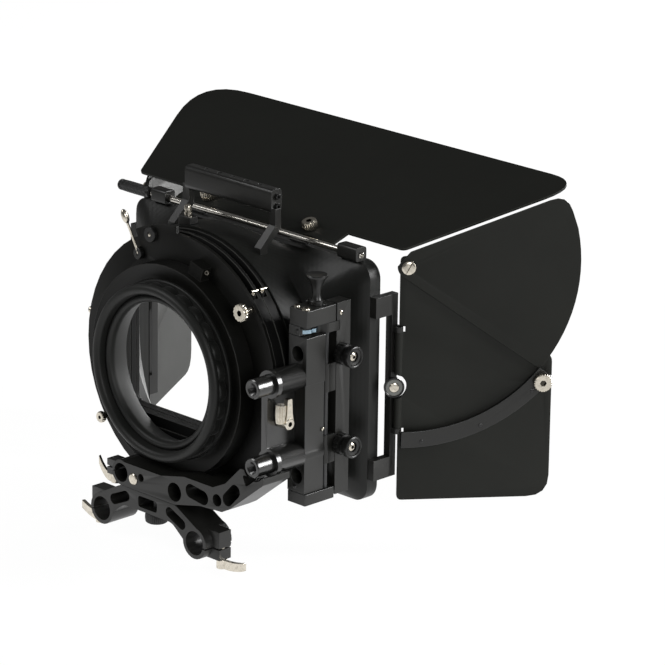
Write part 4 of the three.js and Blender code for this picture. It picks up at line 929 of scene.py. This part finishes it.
@dataclass
class KnurledKnob:
    """A bright finger knob: a knurled band between turned faces, with a hex socket in its front."""

    name: str
    body: str
    origin: Point
    aim: Point
    radius: float
    length: float
    stem_radius: float
    stem: float
    ribs: int
    depth: float = 0.6
    socket: float = 0.36
    crest: float = 0.6
    sides: int = 32
    chamfer: float = 0.3
    ledge: float = 0.5

    def build(self, *stands_for: str) -> None:
        """Makes the band, its faces and its stem.

        Args:
            *stands_for: Nodes that they are shown instead of.
        """
        place = facing(self.origin, self.aim)
        middle = place @ Matrix.Translation((0, 0, self.length / 2))
        BANDS.fit_band(self.name + "_grip", middle, NICKEL, self.body, self.radius,
                       self.length - 2 * self.chamfer, self.depth, self.ribs, crest=self.crest)
        face, top, hole = self.radius - self.depth - self.ledge, self.length, self.radius * self.socket
        rounds = ((self.stem_radius, -self.stem), (self.stem_radius, 0), (face, 0),
                  (face + 0.2, self.chamfer), (face + 0.2, top - self.chamfer), (face, top),
                  (face * 0.8, top))
        rings = [circle(r, h, self.sides) for r, h in rounds]
        rings += [hexagon(hole, h, self.sides) for h in (top - 0.1, top * 0.45)]
        # The hex socket's faces get a painted shade.
        draft = Draft().loft(rings, place, len(rounds))
        fit(draft.mesh(self.name + "_faces"), NICKEL, self.body, *stands_for)


# ---------------------------------------------------------------- the rod support


@dataclass
class RodSupport:
    """The clamp for the studio rods, the bridge for the lightweight rods and its post carrier."""

    knob_centre: Point = (0.0, 9.5, 0.9)
    knob_radius: float = 9.0
    knob_length: float = 8.5
    pin_centre: Point = (-15.9, -1.5, 33.3)
    pin_radius: float = 4.4
    pin_length: float = 10.4
    barrel_middle: Point = (119.0, 24.3, 114.0)
    lever_foot: Point = (119.8, 28.0, 106.4)
    lever_top: float = 125.8
    lever_faces: Pair = (120.6, 124.7)

    def build(self) -> None:
        """Makes the support."""
        machined(ANODISE, 0.5, "studio_clamp", "rod_bridge")
        machined(POST, 0.5, "post_carrier")
        machined(NICKEL, 0.6, "studio_lever_left", "studio_lever_right", "rod_lever")
        self.clamp_knob()
        self.push_pin()
        self.carrier_lever()

    def carrier_lever(self) -> None:
        """Makes the carrier's lever: a ribbed barrel and a bright arm with a round, bored foot."""
        BANDS.fit_band("carrier_lever_barrel", facing(self.barrel_middle, UPWARD), NICKEL, "carrier_lever",
                       radius=4.4, length=14.0, depth=0.5, ribs=20, crest=0.8, bore=1.0)
        foot = Vector(self.lever_foot)
        bored = ((1.9, 0), (4.0, 0), (4.4, 0.4), (4.4, 10.4), (4.0, 10.8), (1.9, 10.8), (1.8, 8.6))
        # The bore in the foot gets a painted shade.
        arm = Draft().loft([circle(r, h, 32) for r, h in bored],
                           facing(foot - Vector((5.4, 0, 0)), RIGHTWARD), socket_shade_from=5)
        inner, outer = self.lever_faces
        low, high, flare = foot.z + 2.0, self.lever_top, 0.4
        halves = ((low, 3.4), (low + 6, 2.4), (high - 1.0, 1.9), (high, 1.4))
        corners = ((inner, -1, 0), (outer, -1, flare), (outer, 1, flare), (inner, 1, 0))
        arm.loft([[(x, foot.y + sign * (half + more), z) for x, sign, more in corners]
                  for z, half in halves], Matrix())
        fit(arm.mesh("carrier_lever_arm"), NICKEL, "carrier_lever", "carrier_lever")

    def clamp_knob(self) -> None:
        """Makes the knob under the clamp."""
        low, h, r = Vector(self.knob_centre), self.knob_length, self.knob_radius - 0.9
        BANDS.fit_band("clamp_knob_grip", facing(low + Vector((0, 0, h / 2)), UPWARD), KNOB, "clamp_knob",
                       radius=self.knob_radius, length=h - 1.4, depth=0.5, ribs=36)
        turned("clamp_knob_core", [(0, 0.6), (r * 0.62, 0.6), (r * 0.66, 0.1), (r - 0.5, 0), (r, 0.4),
                                   (r, h - 0.5), (r - 0.5, h), (2.8, h), (2.8, h + 23), (0, h + 23)],
               facing(low, UPWARD), KNOB, "clamp_knob", "clamp_knob")

    def push_pin(self) -> None:
        """Makes the bright push pin of the bridge, domed with a turned groove."""
        r, n = self.pin_radius, self.pin_length
        turned("push_pin_turned", [(0, 0), (r * 0.55, 0.05), (r * 0.86, 0.35), (r, 1.0), (r, 2.4),
                                   (r - 0.35, 2.6), (r - 0.35, 3.0), (r, 3.2), (r, n - 0.8),
                                   (r - 0.8, n), (0, n)],
               facing(self.pin_centre, FORWARD), NICKEL, "push_pin", "push_pin")


# ---------------------------------------------------------------- the hinge column


@dataclass
class HingeColumn:
    """The sliding posts, the block with its caps, the hinge pin and the swing plunger."""

    post_x: float = 115.5
    post_heights: Pair = (138.0, 77.0)
    post_rear: float = -2.0
    post_front: float = 54.3
    post_radius: float = 7.5
    thread_pitch: float = 1.1
    threads: int = 8
    plunger_centre: Point = (115.5, 63.2, 189.8)
    cap_top: float = 189.5
    rear_face: float = 44.3
    leaf_thickness: float = 0.8
    leaf_steps: int = 16

    def build(self) -> None:
        """Makes the column."""
        machined(ANODISE, 0.35, "hinge_column", "column_spacer", "column_cap_top", "column_cap_bottom")
        machined(OXIDE, 0.3, "hinge_pin")
        for label, height in zip(("upper", "lower"), self.post_heights):
            self.post("post_" + label, height)
        self.leaf()
        self.plunger()
        top, rear = self.cap_top, self.rear_face
        FASTENERS.set_on("cap_screws_bright", HeadStyle.BUTTON, NICKEL, "column", UPWARD,
                         ((119.6, 48.4, top), 3.4), ((109.4, 49.0, top), 2.5))
        FASTENERS.set_on("cap_screw_dark", HeadStyle.SOCKET, OXIDE, "column", UPWARD,
                         ((109.2, 61.5, top), 2.6))
        FASTENERS.set_on("column_set_screws", HeadStyle.RIVET, OXIDE, "column", REARWARD,
                         ((115.1, rear, 172.8), 1.7), ((114.0, rear, 51.0), 1.7))
        FASTENERS.set_on("column_side_pin", HeadStyle.RIVET, NICKEL, "column", RIGHTWARD,
                         ((125.0, 62.3, 94.9), 1.5))

    def post(self, node: str, height: float) -> None:
        """Makes a post with its threaded socket and the groove at its foot.

        Args:
            node: The node that it is shown instead of.
            height: Height of its axis.
        """
        r, n = self.post_radius, self.post_front - self.post_rear
        thread = [point for i in range(self.threads) for point in
                  ((4.2, 9.4 - i * self.thread_pitch), (3.7, 8.85 - i * self.thread_pitch))]
        turned(node + "_turned", [(0, 9.6), *thread, (4.4, 0.5), (4.9, 0.05), (r - 0.8, 0), (r, 0.7),
                                  (r, 41.6), (r - 0.5, 42.0), (r - 0.5, 42.9), (r, 43.3), (r, n), (0, n)],
               facing((self.post_x, self.post_rear, height), FORWARD), POST, "column", node, sides=64)

    def leaf(self) -> None:
        """Makes the bowed spring leaf in its slot, pressed in at its middle."""
        low, high = (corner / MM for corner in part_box("latch_leaf"))
        edge, side, dent, dent_width = 0.15, 0.1, 0.45, 0.1
        rings = []
        for i in range(self.leaf_steps + 1):
            t = i / self.leaf_steps
            y = low.y + edge + (high.y - low.y - 2 * edge) * t
            out = math.sin(math.pi * t) * (high.x - low.x - self.leaf_thickness - side)
            out *= 1 - dent * math.exp(-((t - 0.5) / dent_width) ** 2)
            x = low.x + side / 2 + out
            back = x + self.leaf_thickness
            rings.append([(x, y, low.z + side), (back, y, low.z + side), (back, y, high.z - side),
                          (x, y, high.z - side)])
        fit(Draft().loft(rings, Matrix()).mesh("latch_leaf_sprung"), SPRING, "column", "latch_leaf")

    def plunger(self) -> None:
        """Makes the pull knob: a broad foot, a waist and a flared, dished top."""
        turned("swing_plunger_turned", [
            (0, -13.2), (1.9, -13.2), (1.9, 0), (5.4, 0), (5.4, 2.9), (5.0, 3.4), (4.2, 3.7), (3.5, 5.0),
            (3.2, 8.0), (3.4, 11.0), (4.2, 14.2), (6.0, 18.0), (7.9, 20.9), (8.3, 21.6), (8.3, 22.5),
            (7.9, 23.0), (6.6, 22.7), (4.4, 22.2), (0, 22.1)],
            facing(self.plunger_centre, UPWARD), KNOB, "swing_plunger", "swing_plunger", sides=56)


# ---------------------------------------------------------------- the back of the box


@dataclass
class BoxBack:
    """The rail on the hinge, the rear plate, the collar and the rubber ring around the lens."""

    scallop_radius: float = 68.6
    scallop_depth: float = 3.0
    scallops: int = 26
    scallop_middle: float = 14.2
    lever_foot: Point = (-44.0, 31.2, 200.0)
    lever_end: Point = (-55.5, 25.3, 233.6)
    ball_radius: float = 2.85
    ball_half: float = 5.8
    knob_x: float = 117.0
    knob_y: float = 79.7
    knob_heights: Pair = (150.5, 80.0)
    thumbscrew: Point = (78.0, 24.7, 182.8)
    low_knob: Point = (-85.2, 31.5, 59.0)

    def build(self) -> None:
        """Makes the back of the box."""
        machined(ANODISE, 0.35, "hinge_rail", "index_plate", "rail_bracket")
        machined(TURNED, 0.4, "lens_collar")
        machined(TURNED, 0.35, "rear_plate")
        self.lens_ring()
        self.clamp_lever()
        for label, height in zip(("upper", "lower"), self.knob_heights):
            self.rail_knob("rail_knob_" + label, height)
        KnurledKnob("plate_thumbscrew_made", "plate_thumbscrew", self.thumbscrew, REARWARD, radius=7.0,
                    length=4.5, stem_radius=2.4, stem=8.0, ribs=14, depth=0.8).build("plate_thumbscrew")
        KnurledKnob("plate_knob_low", "box", self.low_knob, REARWARD, radius=4.6, length=4.0,
                    stem_radius=1.6, stem=2.0, ribs=14, depth=0.5).build()
        self.fasteners()

    def lens_ring(self) -> None:
        """Makes the rubber ring: a fat outer lip, a valley, an inner bead and a scalloped band."""
        lip = arc(centre=(64.9, 8.3), radius=4.1, start=200, end=352, steps=12)
        bead = arc(centre=(57.2, 13.2), radius=2.9, start=205, end=320, steps=8)
        section = [(53.8, 16.0), (53.9, 14.2), *bead, (60.0, 13.6), (60.7, 12.4), (61.0, 10.4), *lip,
                   (68.3, 10.0), (66.6, 10.4), (65.4, 10.6), (65.4, 18.3), (66.4, 18.8), (69.0, 19.0),
                   (69.6, 19.6), (69.6, 30.9), (58.0, 30.9)]
        draft = Draft().lathe(section, optical(), sides=128, closed=True)
        fit(draft.mesh("lens_ring_rubber", sharp=40), RUBBER, "box", "lens_ring")
        BANDS.fit_band("lens_ring_scallops", optical(self.scallop_middle), RUBBER, "box",
                       radius=self.scallop_radius, length=7.6, depth=self.scallop_depth,
                       ribs=self.scallops, steps=14, rows=9, crest=0.8, brow=1.0)

    def clamp_lever(self) -> None:
        """Makes the lens clamp lever: a dark hub, a thin bright stem and a long ball."""
        foot, end = Vector(self.lever_foot), Vector(self.lever_end)
        reach = (end - foot).length
        turned("lens_clamp_hub", [(0, 4.8), (2.4, 4.8), (2.4, 1.5), (4.3, 1.5), (4.5, 1.2), (4.5, -1.2),
                                  (4.0, -1.5), (1.6, -1.5), (1.4, -1.1), (0, -1.1)],
               facing(foot, FORWARD), KNOB, "lens_clamp_lever", sides=32)
        turns = [math.pi * i / 14 for i in range(2, 14)]
        ball = [(self.ball_radius * math.sin(t), reach - 6.0 - self.ball_half * math.cos(t))
                for t in turns]
        turned("lens_clamp_stem", [(0, 0), (1.2, 0), (1.05, 4), (1.0, reach - 2 * self.ball_half), *ball,
                                   (0, reach - 0.1)],
               facing(foot, end - foot), NICKEL, "lens_clamp_lever", "lens_clamp_lever", sides=32, sharp=50)

    def rail_knob(self, body: str, height: float) -> None:
        """Makes a rail knob: stem, knurled base, neck, dished disc and a bright socket screw.

        Args:
            body: Its body and the node that it is shown instead of.
            height: Height of its axis.
        """
        place = facing((self.knob_x, self.knob_y, height), RIGHTWARD)
        turned(body + "_turned", [
            (0, 0), (3, 0), (3, 8.4), (7.6, 8.4), (7.6, 13.9), (5.6, 14.3), (5.4, 15.2), (5.8, 17.0),
            (7.4, 17.7), (8.3, 18.1), (8.5, 18.6), (8.5, 22.6), (8.2, 23.3), (7.4, 23.7), (6.6, 23.4),
            (6.2, 22.6), (4.1, 22.2), (4.1, 20.4), (0, 20.4)], place, KNOB, body, body, sides=56)
        BANDS.fit_band(body + "_grip", place @ Matrix.Translation((0, 0, 11.2)), KNOB, body, radius=8.45,
                       length=5.2, depth=0.8, ribs=14, steps=8, crest=0.55)
        FASTENERS.set_on(body + "_screw", HeadStyle.BUTTON, NICKEL, body, RIGHTWARD,
                         (place @ Vector((0, 0, 20.2)), 3.6))

    def fasteners(self) -> None:
        """Sets the plate's and rail's small fasteners."""
        turned("plate_boss", [(0, 3.2), (6.0, 3.2), (6.0, 0.6), (5.5, 0), (2.1, 0), (1.7, 0.5), (0, 0.5)],
               facing((-31.0, 30.0, 217.4), FORWARD), KNOB, "box")
        FASTENERS.set_on("plate_boss_pin", HeadStyle.RIVET, NICKEL, "box", REARWARD,
                         ((-31.0, 30.4, 217.4), 1.4))
        FASTENERS.set_on("rail_pin", HeadStyle.BUTTON, NICKEL, "box", RIGHTWARD,
                         ((125.0, 79.7, 182.0), 1.9))
        FASTENERS.set_on("collar_screw", HeadStyle.SOCKET, NICKEL, "box", (0.3, -0.9, 0.3),
                         ((36.5, 27.2, 203.2), 1.8))


# ---------------------------------------------------------------- stages, hood and top


@dataclass
class FilterStages:
    """The two turning stages and the trays that drop into them."""

    rears: Pair = (36.3, 45.3)
    screw_heights: Pair = (138.5, 107.7)
    radius: float = 103.5
    tray_top: float = AXIS_HEIGHT + 55.7
    pin_x: float = 73.2
    pin_seat: float = 190.9
    pin_height: float = 194.8

    def build(self) -> None:
        """Makes the stages."""
        for label, rear, height in zip(("rear", "front"), self.rears, self.screw_heights):
            machined(STAGE, 0.4, "filter_stage_" + label)
            machined(STAGE, 0.35, "filter_tray_" + label)
            self.tray_pin("tray_" + label, rear)
            reach = math.sqrt(self.radius ** 2 - (height - AXIS_HEIGHT) ** 2)
            body = "stage_" + label
            turned(body + "_screw", [(0, -1.0), (1.5, -1.0), (1.5, 3.2), (2.5, 3.2), (2.7, 3.6),
                                     (2.7, 7.2), (2.3, 7.8), (1.1, 7.8), (0.9, 7.2), (0, 7.2)],
                   facing((-reach, rear + 4.0, height), LEFTWARD), NICKEL, body, sides=28)

    def tray_pin(self, body: str, rear: float) -> None:
        """Makes a tray's bright pin and the dark catch that carries it.

        Args:
            body: The tray's body.
            rear: Depth of its stage's rear face.
        """
        pin = Draft().lathe([(0, 0), (0.9, 0), (1.1, 0.2), (1.1, 6.2), (0.9, 6.4), (0, 6.4)],
                            facing((self.pin_x, rear + 1.0, self.pin_height), FORWARD), 20)
        pin.lathe([(0, 0), (1.6, 0), (1.5, 2.2), (0.9, 3.0), (0, 3.2)],
                  facing((self.pin_x, rear + 2.8, self.pin_seat), UPWARD), 20)
        fit(pin.mesh(body + "_pin"), NICKEL, body)
        turned(body + "_catch", [(0, 0), (1.9, 0), (1.9, 16.0), (1.6, 16.4), (0, 16.4)],
               facing((self.pin_x, rear + 2.8, self.tray_top), UPWARD), STAGE, body, sides=20)


@dataclass
class Hood:
    """The moulded hood, from its round collar to its rounded rectangular rim."""

    rear: float = 54.3
    collar_front: float = 78.0
    flare_front: float = 104.0
    front: float = 117.0
    radius: float = 105.0
    half_width: float = 129.0
    half_height: float = 94.0
    corner: float = 13.0
    wall: float = 3.0
    rim_step: float = 2.0
    steps_wide: int = 28
    steps_tall: int = 20
    steps_corner: int = 10
    steps_flare: int = 12
    flare: tuple = ((0.0, 0.0), (0.42, 0.26), (0.78, 0.68), (1.0, 1.0))

    def build(self) -> None:
        """Makes the hood and the tray latch on it."""
        rings = self.sections(0.0) + list(reversed(self.sections(self.wall)))
        draft = Draft().loft(rings, Matrix(), closed=True)
        fit(draft.mesh("hood_moulded", sharp=24), NYLON, "box", "hood")
        machined(ANODISE, 0.4, "latch_bracket")
        turned("latch_post_turned", [(0, -0.2), (3.0, -0.2), (3.0, 8.0), (2.4, 8.4), (2.4, 9.2),
                                     (3.0, 9.6), (3.0, 12.4), (2.5, 13.4), (1.4, 14.0), (0, 14.1)],
               facing((-18.5, 58.6, 225.0), UPWARD), NICKEL, "box", "latch_post", sides=32)

    def rim(self, inset: float, step: float) -> list[Pair]:
        """Gives the rounded rectangle that the hood ends in.

        Args:
            inset: Depth of the wall, 0 outside.
            step: How far the flare stops short of the rim.

        Returns:
            Its corners, X and height over the axis.
        """
        corner = self.corner - inset
        wide = self.half_width - inset - step - corner
        tall = self.half_height - inset - step - corner
        signs = [(1, 1), (-1, 1), (-1, -1), (1, -1)]
        points: list[Pair] = []
        for k, (sx, sz) in enumerate(signs):
            points += arc((sx * wide, sz * tall), corner, 90 * k, 90 * (k + 1), self.steps_corner)
            nx, nz = signs[(k + 1) % 4]
            end = math.radians(90 * (k + 1))
            first = points[-1]
            last = (nx * wide + corner * math.cos(end), nz * tall + corner * math.sin(end))
            steps = self.steps_wide if k % 2 == 0 else self.steps_tall
            points += [(first[0] + (last[0] - first[0]) * i / steps,
                        first[1] + (last[1] - first[1]) * i / steps) for i in range(1, steps)]
        return points

    def bulge(self, share: float) -> float:
        """Gives how far the section has turned from round to square.

        Args:
            share: The share of the flare's depth.

        Returns:
            0 for round and 1 for square.
        """
        for (a, low), (b, high) in zip(self.flare, self.flare[1:]):
            if share <= b:
                return low + (high - low) * (share - a) / (b - a)
        return 1.0

    def sections(self, inset: float) -> list[Ring]:
        """Gives the rings from the collar to the rim.

        Args:
            inset: Depth of the wall, 0 outside.

        Returns:
            The rings.
        """
        edge, flare = self.rim(inset, 0.0), self.rim(inset, self.rim_step)
        collar = [Vector(p).normalized() * (self.radius - inset) for p in edge]
        chamfer, lip = 1 - 0.3 / self.radius, (0.997, 0.996)
        loops = [([p * chamfer for p in collar], self.rear)]
        loops += [(collar, y) for y in (self.rear + 0.5, self.rear + 12, self.collar_front)]
        for i in range(1, self.steps_flare + 1):
            share = i / self.steps_flare
            blend = self.bulge(share)
            loops.append(([a.lerp(Vector(b), blend) for a, b in zip(collar, flare)],
                          self.collar_front + (self.flare_front - self.collar_front) * share))
        loops += [(edge, self.flare_front + self.rim_step), (edge, self.front - 0.5),
                  ([(p[0] * lip[0], p[1] * lip[1]) for p in edge], self.front)]
        return [[(p[0], y, AXIS_HEIGHT + p[1]) for p in loop] for loop, y in loops]


@dataclass
class TopWorks:
    """The accessory bar, the rod on the rim with its handle, and the top flag with its clips."""

    tilt: float = math.radians(18.0)
    rod_y: float = 107.0
    rod_z: float = 218.6
    rod_radius: float = 2.5
    rod_start: float = -111.0
    rod_end: float = 119.0
    handle_start: float = 112.0
    clip_x: Pair = (-58.0, 54.0)
    clip_reach: float = 11.5
    clip_seat: float = 2.1

    def build(self) -> None:
        """Makes the top."""
        machined(ANODISE, 0.4, "accessory_bar")
        for side in Side:
            machined(ANODISE, 0.4, "rod_clamp_" + side.value)
            machined(KNOB, 0.3, "flag_clip_" + side.value)
        machined(SHEET, 0.3, "top_flag")
        self.rod()
        FASTENERS.set_on("bar_end_screws", HeadStyle.SOCKET, OXIDE, "box", RIGHTWARD,
                         ((47.5, 87.5, 253.2), 2.4), ((47.5, 87.5, 245.6), 2.4))
        out = Vector((0, -math.sin(self.tilt), math.cos(self.tilt)))
        along = Vector((0, math.cos(self.tilt), math.sin(self.tilt)))
        for side, x in zip(Side, self.clip_x):
            root = Vector((x, self.rod_y, self.rod_z)) + along * self.clip_reach + out * self.clip_seat
            node = "clip_screw_" + side.value
            KnurledKnob(node + "_made", "top_flag", root, out, radius=6.0, length=6.8, stem_radius=1.8,
                        stem=5.0, ribs=16, socket=0.4).build(node)

    def rod(self) -> None:
        """Makes the ground rod and its knurled handle."""
        place = facing((0, self.rod_y, self.rod_z), RIGHTWARD)
        start, end, r = self.rod_start, self.rod_end, self.rod_radius
        turned("flag_rod_ground", [(0, start), (r, start), (r, end - 0.4), (2.1, end), (0.7, end),
                                   (0.4, end - 0.8), (0, end - 0.9)],
               place, STEEL, "box", "flag_rod", sides=32)
        handle = place @ Matrix.Translation((0, 0, -self.handle_start))
        turned("flag_rod_handle", [(0, -36), (3.2, -36), (4.0, -35.6), (4.4, -34.8), (4.4, -33.4),
                                   (4.0, -33.2), (4.0, -3.2), (4.4, -3), (4.4, -1), (3.6, 0), (0, 0)],
               handle, KNOB, "box", sides=40)
        BANDS.fit_band("flag_rod_grip", handle @ Matrix.Translation((0, 0, -18.2)), KNOB, "box",
                       radius=4.6, length=29.6, depth=0.45, ribs=26, steps=4, rows=64, slant=44.0,
                       brow=0.3)


@dataclass
class SideFlag:
    """One side flag: its bracket and hinge, the plate, the wing on its guide and the lock."""

    side: Side
    open_angle: float
    hinge_x: float = 139.0
    hinge_y: float = 127.0
    pivot: Pair = (6.0, 90.7)
    pivot_seat: float = 2.9
    pivot_slot: float = -0.5
    lock_angle: float = -41.5
    lock_reach: float = 137.0
    lock_seat: float = 6.3
    rivet_angles: tuple = (-85.0, -65.6, -45.9)
    rivet_reach: float = 136.5
    rivet_seat: float = 5.45
    disc_centre: Point = (-3.3, -1.3, -2.7)
    disc_slot: float = 0.7

    @property
    def label(self) -> str:
        """Returns the side's word at the end of the nodes' names."""
        return self.side.value

    def spot(self, u: float, y: float, z: float) -> Vector:
        """Gives a point of the flag's own frame in the row's frame.

        Args:
            u: Outward from the hinge.
            y: Off the plate, away from the operator.
            z: Height over the optical axis.

        Returns:
            The point.
        """
        x = self.side.sign * u
        turn = self.open_angle
        return Vector((self.side.sign * self.hinge_x + x * math.cos(turn) - y * math.sin(turn),
                       self.hinge_y + x * math.sin(turn) + y * math.cos(turn), AXIS_HEIGHT + z))

    @property
    def outward(self) -> Vector:
        """Returns the direction that the plate's operator side faces."""
        return self.spot(0, -1, 0) - self.spot(0, 0, 0)

    def along(self, angle: float, reach: float, seat: float) -> Vector:
        """Gives a point off the plate at an angle in degrees and a reach from the wing's pivot."""
        turn = math.radians(angle)
        return self.spot(self.pivot[0] + reach * math.cos(turn), -seat,
                         self.pivot[1] + reach * math.sin(turn))

    def build(self) -> None:
        """Makes the flag."""
        flag, wing, lock = (n + self.label for n in ("side_flag_", "flag_wing_", "wing_lock_"))
        machined(ANODISE, 0.4, "side_bracket_" + self.label)
        machined(SHEET, 0.3, flag)
        machined(SHEET, 0.25, wing)
        machined(ANODISE, 0.3, "wing_guide_" + self.label)
        self.friction_disc("friction_disc_" + self.label)
        self.pivot_screw("wing_pivot_" + self.label, flag)
        KnurledKnob(lock + "_made", lock, self.along(self.lock_angle, self.lock_reach, self.lock_seat),
                    self.outward, radius=7.2, length=4.6, stem_radius=1.8, stem=6.0, ribs=22,
                    crest=0.7).build(lock)
        rivets = [(self.along(a, self.rivet_reach, self.rivet_seat), 1.5) for a in self.rivet_angles]
        FASTENERS.set_on("guide_rivets_" + self.label, HeadStyle.RIVET, OXIDE, flag, self.outward, *rivets)

    def friction_disc(self, node: str) -> None:
        """Makes the friction disc: a black cup, a grey washer in it and a slotted screw.

        Args:
            node: The node that it is shown instead of.
        """
        place = facing(self.spot(*self.disc_centre), self.outward)
        turned(node + "_cup", [(0, -5.6), (2.2, -5.6), (2.2, 0), (7.4, 0), (7.8, 0.4), (7.8, 2.6),
                               (7.5, 3.0), (6.9, 3.0), (6.6, 2.7), (6.6, 2.0), (0, 2.0)],
               place, OXIDE, "box", node, sides=56)
        washer = Draft().lathe([(3.9, 1.9), (6.4, 1.9), (6.4, 2.4), (6.2, 2.6), (4.1, 2.6), (3.9, 2.4)],
                               place, 56, closed=True)
        fit(washer.mesh(node + "_washer"), FIBRE, "box")
        screw = Draft().slotted(radius=3.6, low=1.8, high=3.0, half=0.55,
                                place=place @ Matrix.Rotation(self.disc_slot, 4, "Z"))
        fit(screw.mesh(node + "_screw"), NICKEL, "box")

    def pivot_screw(self, node: str, body: str) -> None:
        """Makes the wing's pivot: a domed bright screw with a slot.

        Args:
            node: The node that it is shown instead of.
            body: The flag's body.
        """
        place = facing(self.spot(self.pivot[0], -self.pivot_seat, self.pivot[1]), self.outward)
        screw = Draft().slotted(radius=5.3, low=0.0, high=2.4, half=0.6,
                                place=place @ Matrix.Rotation(self.pivot_slot, 4, "Z"))
        screw.lathe([(0, -3.2), (1.6, -3.2), (1.6, 0.2), (0, 0.2)], place, 24)
        fit(screw.mesh(node + "_turned"), NICKEL, body, node)


# ---------------------------------------------------------------- the studio


@dataclass
class Studio:
    """The camera, the soft lights, the pale floor and the white surroundings, in metres and watts."""

    azimuth: float = math.radians(47.45)
    elevation: float = math.radians(18.33)
    distance: float = 3.0705
    focal_mm: float = 220.5
    sensor_mm: float = 36.0
    sight: float = 50.0
    centre: Point = (0.0, 0.012, 0.12)
    aim_right: float = 0.04255
    aim_up: float = 0.00977
    floor_height: float = -0.0195
    floor_reach: float = 9.0
    floor_glow: float = 1.05
    floor_share: float = 0.92
    floor_shine: float = 1.0
    lit_reach: Pair = (0.25, 0.95)
    surround: float = 0.1
    background: float = 1.0

    def build(self) -> None:
        """Makes the studio."""
        self.camera()
        self.world()
        self.floor()
        self.light("key_softbox", (-1.3, -1.5, 1.9), (1.2, 1.2), 22.0)
        self.light("right_softbox", (1.9, -0.7, 0.9), (0.8, 0.8), 14.0)
        self.light("front_softbox", (-0.4, 2.0, 0.3), (1.2, 0.6), 40.0)
        self.light("post_strip", (1.5, 1.35, 0.85), (0.3, 1.1), 34.0)

    def camera(self) -> None:
        """Makes the camera at the picture's viewing angle."""
        a, e = self.azimuth, self.elevation
        back = Vector((math.sin(a) * math.cos(e), -math.cos(a) * math.cos(e), math.sin(e)))
        right = Vector((math.cos(a), math.sin(a), 0))
        up = back.cross(right)
        toward = (-back + right * self.aim_right + up * self.aim_up).normalized()
        # The smallest turn from the straight view to the shifted one, so that the picture keeps its level.
        turn = (-back).rotation_difference(toward).to_matrix()
        axes = Matrix((turn @ right, turn @ up, turn @ back)).transposed().to_4x4()
        data = bpy.data.cameras.new("camera")
        data.lens = self.focal_mm
        data.sensor_width = self.sensor_mm
        data.clip_end = self.sight
        camera = bpy.data.objects.new("camera", data)
        camera.matrix_world = Matrix.Translation(Vector(self.centre) + back * self.distance) @ axes
        bpy.context.scene.collection.objects.link(camera)
        bpy.context.scene.camera = camera

    def world(self) -> None:
        """Makes the surroundings: a dim room that the camera sees as white."""
        world = bpy.data.worlds.new("pale_room")
        bpy.context.scene.world = world
        world.use_nodes = True
        tree = world.node_tree
        tree.nodes.clear()
        path = add_node(tree, "ShaderNodeLightPath").outputs
        seen = maths(tree, "MAXIMUM", path["Is Camera Ray"], path["Is Transmission Ray"])
        strength = add_node(tree, "ShaderNodeMapRange", {0: seen, 3: self.surround, 4: self.background})
        back = add_node(tree, "ShaderNodeBackground", {
            "Color": (1, 1, 1, 1), "Strength": strength.outputs[0]})
        add_node(tree, "ShaderNodeOutputWorld", {"Surface": back.outputs[0]})

    def floor(self) -> None:
        """Makes the pale floor, which shows white around a faint shadow and is lit near the box."""
        reach, z = self.floor_reach / MM, self.floor_height / MM
        corners = [(-reach, -reach, z), (reach, -reach, z), (reach, reach, z), (-reach, reach, z)]
        floor = show(Draft().add(corners, [(0, 1, 2, 3)], Matrix()).mesh("floor"), "floor")
        material = empty_material("pale_floor")
        tree = material.node_tree
        path = add_node(tree, "ShaderNodeLightPath").outputs
        paper = add_node(tree, "ShaderNodeBsdfDiffuse", {"Color": linear("#d9d9d8")})
        glow = add_node(tree, "ShaderNodeEmission", {"Color": (1, 1, 1, 1), "Strength": self.floor_glow})
        seen = maths(tree, "MULTIPLY", path["Is Camera Ray"], self.floor_share)
        place = add_node(tree, "ShaderNodeTexCoord")
        away = add_node(tree, "ShaderNodeVectorMath", {0: place.outputs["Object"]}, operation="LENGTH")
        lit = add_node(tree, "ShaderNodeMapRange", {
            0: away.outputs["Value"], 1: self.lit_reach[0], 2: self.lit_reach[1], 3: self.floor_shine,
            4: 0.0}, interpolation_type="SMOOTHSTEP")
        mirrored = maths(tree, "MULTIPLY", path["Is Glossy Ray"], lit.outputs[0])
        mix = add_node(tree, "ShaderNodeMixShader", {
            0: maths(tree, "MAXIMUM", seen, mirrored), 1: paper.outputs[0], 2: glow.outputs[0]})
        add_node(tree, "ShaderNodeOutputMaterial", {"Surface": mix.outputs[0]})
        floor.data.materials.append(material)

    def light(self, name: str, where: Point, size: Pair, power: float) -> None:
        """Hangs a softbox that faces the box.

        Args:
            name: The light's name.
            where: Its place.
            size: Its width and height.
            power: Its power.
        """
        data = bpy.data.lights.new(name, "AREA")
        data.shape = "RECTANGLE"
        data.size, data.size_y = size
        data.energy = power
        lamp = bpy.data.objects.new(name, data)
        lamp.matrix_world = facing(where, Vector(where) - Vector(self.centre))
        bpy.context.scene.collection.objects.link(lamp)


def main() -> None:
    """Builds the matte box and its studio in order."""
    logging.basicConfig(level=logging.INFO, format="%(name)s: %(message)s")
    bpy.context.scene.view_settings.view_transform = "Standard"
    parts = [Studio(), RodSupport(), HingeColumn(), BoxBack(), FilterStages(), Hood(), TopWorks(),
             SideFlag(Side.LEFT, math.radians(-60)), SideFlag(Side.RIGHT, math.radians(52))]
    for part in parts:
        part.build()
        LOG.info("built %s", type(part).__name__)


if __name__ == "__main__":
    main()
